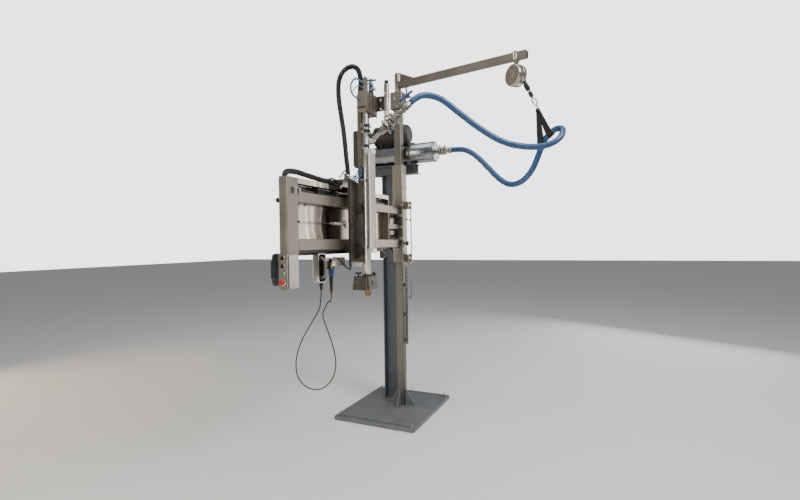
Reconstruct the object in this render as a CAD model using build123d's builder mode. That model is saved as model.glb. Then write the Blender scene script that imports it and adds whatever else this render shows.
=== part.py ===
from build123d import *
import math
import os

os.makedirs("parts", exist_ok=True)

# Lance filling machine with a piston metering cylinder, in millimetres.
# Origin: centre of the stainless column at the floor. +Z up, +X to the operator's right,
# +Y away from the operator. The cross-beam runs from the column towards the operator (-Y).

# ------------------------------------------------------------------ driving dimensions
slide_gap = 0.3            # clearance between flat sliding faces
fit_gap = 0.05             # radial clearance of a running fit

base_length_x = 900.0
base_length_y = 1080.0
base_thickness = 30.0
base_centre = (-60.0, -60.0)
anchor_spacing_x = 800.0
anchor_spacing_y = 960.0
anchor_hole_radius = 9.0

column_width = 80.0
column_wall = 5.0
column_top = 3250.0

sleeve_width = 120.0
sleeve_wall = 5.0
sleeve_bottom = 1597.0
sleeve_top = 2644.0
pad_height = 60.0

beam_width = 70.0
beam_x = -12.0
beam_wall = 4.0
beam_near_y = -1821.0      # where the rails meet the end box
end_box_depth = 132.0
end_box_bottom = 1739.0
end_box_top = 2289.0
top_rail_bottom = 2110.0
top_rail_top = 2193.0
low_rail_bottom = 1757.0
low_rail_top = 1842.0
cover_height = 41.0
sheet_wall = 3.0
far_plate_y = -330.0
far_plate_thickness = 12.0
guide_width = 20.0
guide_height = 18.0

carriage_near_y = -1182.0
carriage_width = 204.0
carriage_face_x = 58.0
plate_thickness = 20.0
carriage_bottom = 1601.0
carriage_seam = 2003.0
carriage_top = 2339.0
saddle_top = 2358.0
block_length = 70.0
block_width = 44.0

mast_gap_x = 25.0          # from the carriage plate to the mast profile
mast_width = 43.0
mast_depth = 120.0
mast_near_y = -1085.0
mast_bottom = 1640.0
mast_top = 3090.0
mast_wall = 4.0

lance_x = 179.0
lance_y = -1070.0
lance_radius = 31.75
lance_wall = 2.0
lance_bottom = 1407.0
lance_top = 2904.0

head_x_size = 80.0
head_y_size = 202.0
head_near_y = -1146.0
head_bottom = 2915.0
head_top = 3095.0

actuator_x = 245.0
actuator_y = -1116.0
actuator_radius = 20.0
actuator_bottom = 1757.0
actuator_top = 2570.0

branch_base_z = 2690.0
branch_turn = 40.0         # about +Z, from +X towards +Y
branch_rise = 42.0         # above the horizontal
branch_radius = 19.0

barrel_y = 195.0
barrel_z = 2800.0
barrel_radius = 109.5
barrel_wall = 4.0
barrel_left = -523.0
barrel_right = 340.0
front_head_thickness = 18.0
rear_head_thickness = 25.0
piston_length = 60.0
piston_front = 330.0
stroke = 320.0
rod_radius = 38.0
rod_bore = 20.0
screw_radius = 16.0
motor_radius = 105.0
motor_z = barrel_z + barrel_radius + motor_radius + 8.5
motor_left = -360.0
motor_right = 49.0
case_length = 100.0
pulley_radius_screw = 70.0
pulley_radius_motor = 35.0
belt_width = 40.0
belt_thickness = 5.0

stand_beam_top = barrel_z - barrel_radius - 10.5
stand_beam_bottom = stand_beam_top - 106.0
stand_beam_flange = 110.0
stand_beam_left = -530.0
stand_beam_right = 146.0
stand_post_x = -175.0
stand_post_depth = 200.0   # across X
stand_post_flange = 150.0  # across Y
web = 10.0

jib_tube_radius = 35.0
jib_tube_top = column_top + 388.0
jib_housing_top = column_top + 180.0
boom_size = 65.0
boom_z = column_top + 266.0
boom_turn = -9.1
boom_reach = 1424.0
balancer_reach = 1322.0
balancer_z = column_top + 88.0
balancer_radius = 100.0
balancer_width = 96.0

hose_radius = 29.0
conduit_radius = 22.0
bundle_radius = 21.0
pendant_radius = 4.5

# ------------------------------------------------------------------ derived places
beam_left = beam_x - beam_width / 2
beam_right = beam_x + beam_width / 2
rail_far_y = -sleeve_width / 2
rail_length = rail_far_y - beam_near_y
rail_mid_y = (rail_far_y + beam_near_y) / 2
cover_length = far_plate_y - beam_near_y
cover_mid_y = (far_plate_y + beam_near_y) / 2
end_box_near_y = beam_near_y - end_box_depth
carriage_far_y = carriage_near_y + carriage_width
carriage_mid_y = carriage_near_y + carriage_width / 2
plate_outer_x = carriage_face_x + plate_thickness
mast_left = plate_outer_x + mast_gap_x
mast_right = mast_left + mast_width
mast_mid_y = mast_near_y + mast_depth / 2
head_right = mast_right + head_x_size
head_mid_y = head_near_y + head_y_size / 2
pivot = Vector(
    balancer_reach * math.cos(math.radians(boom_turn)),
    balancer_reach * math.sin(math.radians(boom_turn)),
    boom_z,
)
branch_direction = Vector(
    math.cos(math.radians(branch_rise)) * math.cos(math.radians(branch_turn)),
    math.cos(math.radians(branch_rise)) * math.sin(math.radians(branch_turn)),
    math.sin(math.radians(branch_rise)),
)
branch_plane = Plane(
    origin=(lance_x, lance_y, branch_base_z),
    x_dir=(-math.sin(math.radians(branch_turn)), math.cos(math.radians(branch_turn)), 0),
    z_dir=branch_direction,
)
barrel_plane = Plane(origin=(0, barrel_y, barrel_z), x_dir=(0, 1, 0), z_dir=(1, 0, 0))
motor_plane = Plane(origin=(0, barrel_y, motor_z), x_dir=(0, 1, 0), z_dir=(1, 0, 0))
boom_plane = Plane(
    origin=(0, 0, boom_z),
    x_dir=(-math.sin(math.radians(boom_turn)), math.cos(math.radians(boom_turn)), 0),
    z_dir=(math.cos(math.radians(boom_turn)), math.sin(math.radians(boom_turn)), 0),
)


def corner_radii(points, share=0.45):
    """Arc radius at each inner corner: as large as the shorter neighbouring run allows."""
    radii = []
    for before, here, after in zip(points, points[1:], points[2:]):
        run_in = Vector(*here) - Vector(*before)
        run_out = Vector(*after) - Vector(*here)
        turn = math.radians(run_in.get_angle(run_out))
        radii.append(share * min(run_in.length, run_out.length) / math.tan(turn / 2))
    return radii


def report_route(name, points, radius):
    """Prints the bend radii of a hose or cable route, in hose diameters."""
    radii = corner_radii(points)
    print(name, "radii in diameters:", [round(r / (2 * radius), 1) for r in radii])


# ================================================================== STAND (fixed)
# ------------------------------------------------------------------ base plate with four ribs round the column's foot
rib_length = 110.0
rib_height = 170.0
rib_thickness = 12.0
with BuildPart() as base_plate:
    with BuildSketch(Plane.XY):
        with Locations(base_centre):
            RectangleRounded(base_length_x, base_length_y, 30)
            with GridLocations(anchor_spacing_x, anchor_spacing_y, 2, 2):
                Circle(anchor_hole_radius, mode=Mode.SUBTRACT)
    extrude(amount=base_thickness)
    for angle in (0, 90, 180, 270):
        rib_plane = Plane(
            origin=(0, 0, base_thickness),
            x_dir=(math.cos(math.radians(angle)), math.sin(math.radians(angle)), 0),
            z_dir=(math.sin(math.radians(angle)), -math.cos(math.radians(angle)), 0),
        )
        with BuildSketch(rib_plane):
            with BuildLine():
                Polyline(
                    (column_width / 2, 0),
                    (column_width / 2 + rib_length, 0),
                    (column_width / 2 + rib_length, 15),
                    (column_width / 2 + 15, rib_height),
                    (column_width / 2, rib_height),
                    close=True,
                )
            make_face()
        extrude(amount=rib_thickness / 2, both=True)
base_plate.part.label = "base_plate"
export_step(base_plate.part, "parts/base_plate.step")

# ------------------------------------------------------------------ column: square tube with a closed top
with BuildPart() as column:
    with BuildSketch(Plane.XY.offset(base_thickness)):
        RectangleRounded(column_width, column_width, 8)
    extrude(amount=column_top - base_thickness)
    with BuildSketch(Plane.XY.offset(base_thickness)):
        RectangleRounded(column_width - 2 * column_wall, column_width - 2 * column_wall, 4)
    extrude(amount=column_top - base_thickness - 8, mode=Mode.SUBTRACT)
column.part.label = "column"
export_step(column.part, "parts/column.step")

# ------------------------------------------------------------------ toothed lifting strip beside the column
rack_bottom = 700.0
rack_top = 1560.0
rack_width = 46.0
rack_thickness = 8.0
rack_x = sleeve_width / 2 + 5
rack_spacer_tops = (760.0, 1040.0, 1360.0)
rack_hole_pitch = 43.0
with BuildPart() as lift_rack:
    with BuildSketch(Plane.YZ.offset(rack_x)):
        with Locations((0, (rack_bottom + rack_top) / 2)):
            Rectangle(rack_width, rack_top - rack_bottom)
            with GridLocations(22, rack_hole_pitch, 2, 19):
                Rectangle(10, 22, mode=Mode.SUBTRACT)
    extrude(amount=rack_thickness)
    for spacer_top in rack_spacer_tops:
        with BuildSketch(Plane.YZ.offset(column_width / 2)):
            with Locations((0, spacer_top - 15)):
                Rectangle(rack_width, 30)
        extrude(amount=rack_x - column_width / 2)
lift_rack.part.label = "lift_rack"
export_step(lift_rack.part, "parts/lift_rack.step")

# ------------------------------------------------------------------ painted H-section post beside the column
with BuildPart() as stand_post:
    with BuildSketch(Plane.XY.offset(base_thickness)):
        with Locations((stand_post_x, barrel_y)):
            Rectangle(stand_post_depth, stand_post_flange)
            with GridLocations(0, stand_post_flange + web, 1, 2):
                Rectangle(stand_post_depth - 2 * web, stand_post_flange, mode=Mode.SUBTRACT)
    extrude(amount=stand_beam_bottom - base_thickness)
stand_post.part.label = "stand_post"
export_step(stand_post.part, "parts/stand_post.step")

# ------------------------------------------------------------------ painted H-beam, its knee and the two barrel saddles
saddle_x = (-400.0, 60.0)
saddle_thickness = 30.0
saddle_height = barrel_z - stand_beam_top - 40
with BuildPart() as stand_beam:
    with BuildSketch(Plane(origin=(stand_beam_left, barrel_y, 0), x_dir=(0, 1, 0), z_dir=(1, 0, 0))):
        with Locations((0, (stand_beam_bottom + stand_beam_top) / 2)):
            Rectangle(stand_beam_flange, stand_beam_top - stand_beam_bottom)
            with GridLocations(stand_beam_flange + web, 0, 2, 1):
                Rectangle(
                    stand_beam_flange,
                    stand_beam_top - stand_beam_bottom - 2 * web,
                    mode=Mode.SUBTRACT,
                )
    extrude(amount=stand_beam_right - stand_beam_left)
    for centre_x in saddle_x:
        with BuildSketch(Plane(origin=(centre_x, barrel_y, stand_beam_top), x_dir=(0, 1, 0), z_dir=(1, 0, 0))):
            with Locations((0, saddle_height / 2)):
                Rectangle(stand_beam_flange + 40, saddle_height)
            with Locations((0, barrel_z - stand_beam_top)):
                Circle(barrel_radius, mode=Mode.SUBTRACT)
        extrude(amount=saddle_thickness / 2, both=True)
    knee_left = stand_post_x - stand_post_depth / 2
    knee_size = 80.0
    with BuildSketch(Plane(origin=(0, barrel_y, 0), x_dir=(1, 0, 0), z_dir=(0, -1, 0))):
        with BuildLine():
            Line((knee_left, stand_beam_bottom), (knee_left - knee_size, stand_beam_bottom))
            RadiusArc(
                (knee_left - knee_size, stand_beam_bottom),
                (knee_left, stand_beam_bottom - knee_size),
                knee_size,
            )
            Line((knee_left, stand_beam_bottom - knee_size), (knee_left, stand_beam_bottom))
        make_face()
    extrude(amount=35, both=True)
stand_beam.part.label = "stand_beam"
export_step(stand_beam.part, "parts/stand_beam.step")

# ------------------------------------------------------------------ metering barrel
with BuildPart() as metering_barrel:
    with BuildSketch(barrel_plane.offset(barrel_left)):
        Circle(barrel_radius)
        Circle(barrel_radius - barrel_wall, mode=Mode.SUBTRACT)
    extrude(amount=barrel_right - barrel_left)
metering_barrel.part.label = "metering_barrel"
export_step(metering_barrel.part, "parts/metering_barrel.step")

# ------------------------------------------------------------------ barrel heads: front disc with outlet bore, rear plug with bearing bore
outlet_radius = 19.0
screw_bearing_radius = 21.0
with BuildPart() as barrel_heads:
    with BuildSketch(barrel_plane.offset(barrel_right)):
        Circle(barrel_radius)
        Circle(outlet_radius, mode=Mode.SUBTRACT)
    extrude(amount=front_head_thickness)
    chamfer(barrel_heads.faces().sort_by(Axis.X)[-1].edges().sort_by(SortBy.LENGTH)[-1], 6)
    with BuildSketch(barrel_plane.offset(barrel_left)):
        Circle(barrel_radius - barrel_wall - fit_gap)
        Circle(screw_bearing_radius, mode=Mode.SUBTRACT)
    extrude(amount=rear_head_thickness)
barrel_heads.part.label = "barrel_heads"
export_step(barrel_heads.part, "parts/barrel_heads.step")

# ------------------------------------------------------------------ outlet: pipe, clamp unions and check valve, hose tail
outlet_start = barrel_right + front_head_thickness
outlet_profile = (
    (24.0, 44.0),
    (38.0, 12.0),
    (20.0, 10.0),
    (46.0, 24.0),
    (30.0, 16.0),
    (46.0, 20.0),
    (22.0, 57.0),
)
with BuildPart() as outlet_fitting:
    place = outlet_start
    for radius, length in outlet_profile:
        with BuildSketch(barrel_plane.offset(place)):
            Circle(radius)
        extrude(amount=length)
        place += length
    with BuildSketch(barrel_plane.offset(outlet_start)):
        Circle(15)
    extrude(amount=place - outlet_start, mode=Mode.SUBTRACT)
outlet_end = place
outlet_fitting.part.label = "outlet_fitting"
export_step(outlet_fitting.part, "parts/outlet_fitting.step")

# ------------------------------------------------------------------ drive case: a shell behind the barrel that holds the belt drive
case_left = barrel_left - case_length
case_top = motor_z + 95
case_bottom = barrel_z - 112
case_half_y = 112.0
shaft_bore = 14.0
with BuildPart() as drive_case:
    with BuildSketch(Plane(origin=(case_left, barrel_y, 0), x_dir=(0, 1, 0), z_dir=(1, 0, 0))):
        with Locations((0, (case_top + case_bottom) / 2)):
            RectangleRounded(2 * case_half_y, case_top - case_bottom, 40)
    extrude(amount=case_length)
    with BuildSketch(Plane(origin=(case_left + 6, barrel_y, 0), x_dir=(0, 1, 0), z_dir=(1, 0, 0))):
        with Locations((0, (case_top + case_bottom) / 2)):
            RectangleRounded(2 * case_half_y - 12, case_top - case_bottom - 12, 34)
    extrude(amount=case_length - 20, mode=Mode.SUBTRACT)
    with BuildSketch(barrel_plane.offset(barrel_left)):
        Circle(screw_bearing_radius)
    extrude(amount=-20, mode=Mode.SUBTRACT)
    with BuildSketch(motor_plane.offset(barrel_left)):
        Circle(shaft_bore)
    extrude(amount=-20, mode=Mode.SUBTRACT)
drive_case.part.label = "drive_case"
export_step(drive_case.part, "parts/drive_case.step")

# ------------------------------------------------------------------ geared motor: gearbox, finned body, octagonal fan cover, foot on the barrel
gearbox_radius = 62.0
foot_x = (-300.0, -80.0)
with BuildPart() as drive_motor:
    with BuildSketch(motor_plane.offset(barrel_left)):
        Circle(gearbox_radius)
        Circle(shaft_bore, mode=Mode.SUBTRACT)
    extrude(amount=motor_left - barrel_left)
    with BuildSketch(motor_plane.offset(motor_left)):
        Circle(motor_radius - 8)
    extrude(amount=motor_right - 90 - motor_left)
    with BuildSketch(motor_plane.offset(motor_right - 90)):
        RegularPolygon(motor_radius, 8)
    extrude(amount=90)
    chamfer(drive_motor.faces().sort_by(Axis.X)[-1].edges(), 18)
    for centre_x in foot_x:
        with BuildSketch(Plane(origin=(centre_x, barrel_y, barrel_z), x_dir=(0, 1, 0), z_dir=(1, 0, 0))):
            with Locations((0, (barrel_radius + motor_z - barrel_z) / 2)):
                Rectangle(120, motor_z - barrel_z - barrel_radius + 2 * 40)
            Circle(barrel_radius, mode=Mode.SUBTRACT)
            with Locations((0, motor_z - barrel_z)):
                Circle(motor_radius - 20, mode=Mode.SUBTRACT)
        extrude(amount=20)
drive_motor.part.label = "drive_motor"
export_step(drive_motor.part, "parts/drive_motor.step")

# ------------------------------------------------------------------ jib bearing housing and its fixed pin on the column's top
housing_x = 140.0
housing_y = 130.0
pin_radius = 29.0
lock_plate_x = 105.0
with BuildPart() as jib_housing:
    with BuildSketch(Plane.XY.offset(column_top)):
        RectangleRounded(housing_x, housing_y, 10)
    extrude(amount=jib_housing_top - column_top)
    chamfer(jib_housing.faces().sort_by(Axis.Z)[-1].edges(), 6)
    with BuildSketch(Plane.XY.offset(jib_housing_top)):
        Circle(pin_radius)
    extrude(amount=jib_tube_top - 18 - jib_housing_top)
    with BuildSketch(Plane.XY.offset(jib_housing_top - 60)):
        with Locations((lock_plate_x, 0)):
            Rectangle(80, 60)
    extrude(amount=12)
jib_housing.part.label = "jib_housing"
export_step(jib_housing.part, "parts/jib_housing.step")

# ================================================================== METERING DRIVE (inside the barrel and the case)
nut_length = 60.0
rod_length = 350.0
screw_lead = 20.0
rod_right = piston_front - piston_length
rod_left = rod_right - rod_length
with BuildPart() as piston:
    with BuildSketch(barrel_plane.offset(piston_front - piston_length)):
        Circle(barrel_radius - barrel_wall - 0.6)
    extrude(amount=piston_length)
    for seal_at in (12.0, 42.0):
        with BuildSketch(barrel_plane.offset(piston_front - piston_length + seal_at)):
            Circle(barrel_radius)
            Circle(barrel_radius - barrel_wall - 7, mode=Mode.SUBTRACT)
        extrude(amount=7, mode=Mode.SUBTRACT)
    with BuildSketch(barrel_plane.offset(rod_left)):
        Circle(rod_radius)
        Circle(rod_bore, mode=Mode.SUBTRACT)
    extrude(amount=rod_length)
piston.part.label = "piston"
export_step(piston.part, "parts/piston.step")

with BuildPart() as piston_seals:
    for seal_at in (12.0, 42.0):
        with BuildSketch(barrel_plane.offset(piston_front - piston_length + seal_at)):
            Circle(barrel_radius - barrel_wall - fit_gap)
            Circle(barrel_radius - barrel_wall - 7, mode=Mode.SUBTRACT)
        extrude(amount=7)
piston_seals.part.label = "piston_seals"
export_step(piston_seals.part, "parts/piston_seals.step")

with BuildPart() as screw_nut:
    with BuildSketch(barrel_plane.offset(rod_left)):
        Circle(rod_radius)
        Circle(screw_radius + fit_gap, mode=Mode.SUBTRACT)
    extrude(amount=-nut_length)
screw_nut.part.label = "screw_nut"
export_step(screw_nut.part, "parts/screw_nut.step")

screw_left = case_left + 14
with BuildPart() as ball_screw:
    with BuildSketch(barrel_plane.offset(screw_left)):
        Circle(screw_radius)
    extrude(amount=rod_left + 25 - screw_left)
    with BuildSketch(barrel_plane.offset(barrel_left - 20)):
        Circle(screw_bearing_radius - fit_gap)
    extrude(amount=20 + rear_head_thickness)
ball_screw.part.label = "ball_screw"
export_step(ball_screw.part, "parts/ball_screw.step")

pulley_left = case_left + 22
with BuildPart() as screw_pulley:
    with BuildSketch(barrel_plane.offset(pulley_left)):
        Circle(pulley_radius_screw)
        Circle(screw_radius, mode=Mode.SUBTRACT)
    extrude(amount=belt_width)
screw_pulley.part.label = "screw_pulley"
export_step(screw_pulley.part, "parts/screw_pulley.step")

with BuildPart() as motor_pulley:
    with BuildSketch(motor_plane.offset(pulley_left)):
        Circle(pulley_radius_motor)
    extrude(amount=belt_width)
    with BuildSketch(motor_plane.offset(pulley_left + belt_width)):
        Circle(shaft_bore - fit_gap)
    extrude(amount=motor_left - 20 - pulley_left - belt_width)
motor_pulley.part.label = "motor_pulley"
export_step(motor_pulley.part, "parts/motor_pulley.step")

with BuildPart() as drive_belt:
    belt_plane = Plane(origin=(pulley_left + 2, barrel_y, barrel_z), x_dir=(0, 1, 0), z_dir=(1, 0, 0))
    with BuildSketch(belt_plane):
        with BuildSketch(mode=Mode.PRIVATE) as wheels:
            Circle(pulley_radius_screw + slide_gap)
            with Locations((0, motor_z - barrel_z)):
                Circle(pulley_radius_motor + slide_gap)
        belt_inner = make_hull(wheels.sketch.edges(), mode=Mode.PRIVATE)
        add(offset(belt_inner, amount=belt_thickness, mode=Mode.PRIVATE))
        add(belt_inner, mode=Mode.SUBTRACT)
    extrude(amount=belt_width - 4)
drive_belt.part.label = "drive_belt"
export_step(drive_belt.part, "parts/drive_belt.step")

# ================================================================== LIFTING SLEEVE AND CROSS-BEAM
with BuildPart() as sleeve:
    with BuildSketch(Plane.XY.offset(sleeve_bottom)):
        RectangleRounded(sleeve_width, sleeve_width, 8)
        RectangleRounded(
            sleeve_width - 2 * sleeve_wall, sleeve_width - 2 * sleeve_wall, 4, mode=Mode.SUBTRACT
        )
    extrude(amount=sleeve_top - sleeve_bottom)
sleeve.part.label = "sleeve"
export_step(sleeve.part, "parts/sleeve.step")

# ------------------------------------------------------------------ nylon pads between sleeve and column
pad_thickness = sleeve_width / 2 - sleeve_wall - column_width / 2 - slide_gap
pad_levels = (sleeve_bottom + 40, sleeve_top - 40 - pad_height)
pad_reach = column_width / 2 + slide_gap + pad_thickness / 2
with BuildPart() as slide_pads:
    for level in pad_levels:
        with BuildSketch(Plane.XY.offset(level)):
            with Locations((pad_reach, 0), (-pad_reach, 0)):
                Rectangle(pad_thickness, 40)
            with Locations((0, pad_reach), (0, -pad_reach)):
                Rectangle(40, pad_thickness)
        extrude(amount=pad_height)
slide_pads.part.label = "slide_pads"
export_step(slide_pads.part, "parts/slide_pads.step")

# ------------------------------------------------------------------ sleeve fittings: roller brackets, tie rod, clamp bars with T-screws
clamp_levels = (1738.0, 1856.0, 2097.0, 2205.0)
clamp_y = -sleeve_width / 2 - 16
bracket_levels = (1600.0, 2170.0)
bracket_height = 80.0
roller_radius = 22.0
roller_x = sleeve_width / 2 + 38
tie_rod_x = sleeve_width / 2 + 52
tie_rod_y = 46.0
with BuildPart() as sleeve_fittings:
    for level in bracket_levels:
        with BuildSketch(Plane.XY.offset(level)):
            with Locations((sleeve_width / 2 + 30, 38), (sleeve_width / 2 + 30, -38)):
                Rectangle(60, 8)
            with Locations((sleeve_width / 2 + 52, 46)):
                Rectangle(16, 24)
        extrude(amount=bracket_height)
        with BuildSketch(Plane.XZ.offset(-33.6)):
            with Locations((roller_x, level + bracket_height / 2)):
                Circle(roller_radius)
        extrude(amount=67.2)
    with BuildSketch(Plane.XY.offset(bracket_levels[0] + bracket_height)):
        with Locations((tie_rod_x, tie_rod_y)):
            Circle(6)
    extrude(amount=bracket_levels[1] - bracket_levels[0] - bracket_height)
    for level in clamp_levels:
        with BuildSketch(Plane.YZ.offset(beam_right)):
            with Locations((clamp_y, level)):
                Rectangle(32, 26)
        extrude(amount=sleeve_width / 2 - 14 - beam_right)
        with BuildSketch(Plane.YZ.offset(sleeve_width / 2 - 14)):
            with Locations((clamp_y, level)):
                Circle(7)
        extrude(amount=26)
        with BuildSketch(Plane.XY.offset(level - 24)):
            with Locations((sleeve_width / 2 + 6, clamp_y)):
                Circle(5)
        extrude(amount=48)
sleeve_fittings.part.label = "sleeve_fittings"
export_step(sleeve_fittings.part, "parts/sleeve_fittings.step")

# ------------------------------------------------------------------ two rectangular rails of the cross-beam, with the plates that tie their far ends
with BuildPart() as beam_rails:
    for bottom, top in ((low_rail_bottom, low_rail_top), (top_rail_bottom, top_rail_top)):
        with BuildSketch(Plane.XZ.offset(-beam_near_y)):
            with Locations((beam_x, (bottom + top) / 2)):
                RectangleRounded(beam_width, top - bottom, 6)
                RectangleRounded(
                    beam_width - 2 * beam_wall, top - bottom - 2 * beam_wall, 3, mode=Mode.SUBTRACT
                )
        extrude(amount=-rail_length)
    for bottom, top in ((low_rail_top, top_rail_bottom), (top_rail_top, end_box_top)):
        with BuildSketch(Plane.XZ.offset(-far_plate_y)):
            with Locations((beam_x, (bottom + top) / 2)):
                Rectangle(beam_width, top - bottom)
        extrude(amount=-far_plate_thickness)
    with BuildSketch(Plane.XZ.offset(-far_plate_y - far_plate_thickness)):
        with Locations((beam_x, (low_rail_top + top_rail_bottom) / 2)):
            Rectangle(beam_width, 46)
    extrude(amount=rail_far_y - far_plate_y - far_plate_thickness, dir=(0, 1, 0))
beam_rails.part.label = "beam_rails"
export_step(beam_rails.part, "parts/beam_rails.step")

# ------------------------------------------------------------------ upright box at the operator's end
with BuildPart() as beam_end_box:
    with BuildSketch(Plane.XY.offset(end_box_bottom)):
        with Locations((beam_x, beam_near_y - end_box_depth / 2)):
            RectangleRounded(beam_width + 2, end_box_depth, 5)
    extrude(amount=end_box_top - end_box_bottom)
    with BuildSketch(Plane.XY.offset(end_box_bottom + beam_wall)):
        with Locations((beam_x, beam_near_y - end_box_depth / 2)):
            Rectangle(beam_width + 2 - 2 * beam_wall, end_box_depth - 2 * beam_wall)
    extrude(amount=end_box_top - end_box_bottom - 2 * beam_wall, mode=Mode.SUBTRACT)
beam_end_box.part.label = "beam_end_box"
export_step(beam_end_box.part, "parts/beam_end_box.step")

# ------------------------------------------------------------------ sheet covers: channel over the guide groove, back panel
cover_bottom = end_box_top - cover_height
with BuildPart() as beam_covers:
    with BuildSketch(Plane.XZ.offset(-beam_near_y)):
        with Locations((beam_x, cover_bottom + cover_height / 2)):
            Rectangle(beam_width, cover_height)
        with Locations((beam_x, cover_bottom + (cover_height - sheet_wall) / 2)):
            Rectangle(beam_width - 2 * sheet_wall, cover_height - sheet_wall, mode=Mode.SUBTRACT)
    extrude(amount=-cover_length)
    with BuildSketch(Plane.YZ.offset(beam_left + 4)):
        with Locations((cover_mid_y, (low_rail_top + top_rail_bottom) / 2)):
            Rectangle(cover_length, top_rail_bottom - low_rail_top)
    extrude(amount=sheet_wall)
beam_covers.part.label = "beam_covers"
export_step(beam_covers.part, "parts/beam_covers.step")

# ------------------------------------------------------------------ linear guide rails above and below the beam
guide_length = far_plate_y - beam_near_y - 20
with BuildPart() as guide_rails:
    for level in (top_rail_top + guide_height / 2, low_rail_bottom - guide_height / 2):
        with BuildSketch(Plane.XZ.offset(-beam_near_y - 10)):
            with Locations((beam_x, level)):
                Rectangle(guide_width, guide_height)
        extrude(amount=-guide_length)
guide_rails.part.label = "guide_rails"
export_step(guide_rails.part, "parts/guide_rails.step")

# ------------------------------------------------------------------ tension wire along the beam, with its spring
wire_z = 1970.0
wire_x = beam_right + 10
spring_far_y = carriage_near_y - 8
spring_length = 110.0
with BuildPart() as tension_wire:
    with BuildSketch(Plane.XZ.offset(-beam_near_y)):
        with Locations((beam_right - 6, wire_z)):
            Rectangle(40, 16)
    extrude(amount=-10)
    with BuildSketch(Plane.XZ.offset(-beam_near_y - 10)):
        with Locations((wire_x, wire_z)):
            Circle(3)
    extrude(amount=-(spring_far_y - spring_length - beam_near_y - 10))
tension_wire.part.label = "tension_wire"
export_step(tension_wire.part, "parts/tension_wire.step")

# ------------------------------------------------------------------ control box under the end box, touch panel beside it
control_x = (-44.0, 41.0)
control_y = (-1975.0, -1853.0)
control_bottom = 1481.0
panel_x = (-122.0, -45.0)
panel_depth = 70.0
button_x = -2.0
button_levels = (1538.0, 1596.0, 1652.0, 1708.0)
button_hole_radius = 12.0
control_top = end_box_bottom
with BuildPart() as control_box:
    with BuildSketch(Plane.XY.offset(control_bottom)):
        with Locations(((control_x[0] + control_x[1]) / 2, (control_y[0] + control_y[1]) / 2)):
            RectangleRounded(control_x[1] - control_x[0], control_y[1] - control_y[0], 8)
    extrude(amount=control_top - control_bottom)
    with BuildSketch(Plane.XY.offset(control_bottom + 4)):
        with Locations(((control_x[0] + control_x[1]) / 2, (control_y[0] + control_y[1]) / 2)):
            Rectangle(control_x[1] - control_x[0] - 8, control_y[1] - control_y[0] - 8)
    extrude(amount=control_top - control_bottom - 8, mode=Mode.SUBTRACT)
    with BuildSketch(Plane.XZ.offset(-control_y[0] + 1)):
        for level in button_levels:
            with Locations((button_x, level)):
                Circle(button_hole_radius)
    extrude(amount=-20, mode=Mode.SUBTRACT)
control_box.part.label = "control_box"
export_step(control_box.part, "parts/control_box.step")

with BuildPart() as touch_panel:
    with BuildSketch(Plane.XZ.offset(-control_y[0])):
        with Locations(((panel_x[0] + panel_x[1]) / 2, 1623)):
            Rectangle(panel_x[1] - panel_x[0], 234)
    extrude(amount=-panel_depth)
    chamfer(touch_panel.edges().filter_by(Axis.Y), 12)
touch_panel.part.label = "touch_panel"
export_step(touch_panel.part, "parts/touch_panel.step")

# ------------------------------------------------------------------ switches: stop mushroom, start button, two selectors
stem_radius = button_hole_radius - slide_gap
front_y = control_y[0]
with BuildPart() as stop_button:
    with BuildSketch(Plane.XZ.offset(-front_y - 16)):
        with Locations((button_x, button_levels[0])):
            Circle(stem_radius)
    extrude(amount=34)
    with BuildSketch(Plane.XZ.offset(-front_y + 12)):
        with Locations((button_x, button_levels[0])):
            Circle(20)
    extrude(amount=16)
    fillet(stop_button.faces().sort_by(Axis.Y)[0].edges(), 6)
stop_button.part.label = "stop_button"
export_step(stop_button.part, "parts/stop_button.step")

with BuildPart() as start_button:
    with BuildSketch(Plane.XZ.offset(-front_y - 16)):
        with Locations((button_x, button_levels[1])):
            Circle(stem_radius)
    extrude(amount=26)
    chamfer(start_button.faces().sort_by(Axis.Y)[0].edges(), 2)
start_button.part.label = "start_button"
export_step(start_button.part, "parts/start_button.step")

with BuildPart() as selector_low:
    with BuildSketch(Plane.XZ.offset(-front_y - 16)):
        with Locations((button_x, button_levels[2])):
            Circle(stem_radius)
    extrude(amount=24)
    with BuildSketch(Plane.XZ.offset(-front_y + 8)):
        with Locations((button_x, button_levels[2])):
            Rectangle(9, 26)
    extrude(amount=14)
selector_low.part.label = "selector_low"
export_step(selector_low.part, "parts/selector_low.step")

with BuildPart() as selector_high:
    with BuildSketch(Plane.XZ.offset(-front_y - 16)):
        with Locations((button_x, button_levels[3])):
            Circle(stem_radius)
    extrude(amount=24)
    with BuildSketch(Plane.XZ.offset(-front_y + 8)):
        with Locations((button_x, button_levels[3])):
            Rectangle(9, 26)
    extrude(amount=14)
selector_high.part.label = "selector_high"
export_step(selector_high.part, "parts/selector_high.step")

# ------------------------------------------------------------------ star knob that locks the sleeve's height
knob_z = 1798.0
with BuildPart() as lock_knob:
    with BuildSketch(Plane.YZ.offset(sleeve_width / 2 + slide_gap)):
        with Locations((0, knob_z)):
            Circle(8)
    extrude(amount=20)
    with BuildSketch(Plane.YZ.offset(sleeve_width / 2 + slide_gap + 20)):
        with Locations((0, knob_z)):
            Circle(18)
            with PolarLocations(18, 5):
                Circle(7)
    extrude(amount=18)
lock_knob.part.label = "lock_knob"
export_step(lock_knob.part, "parts/lock_knob.step")

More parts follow.
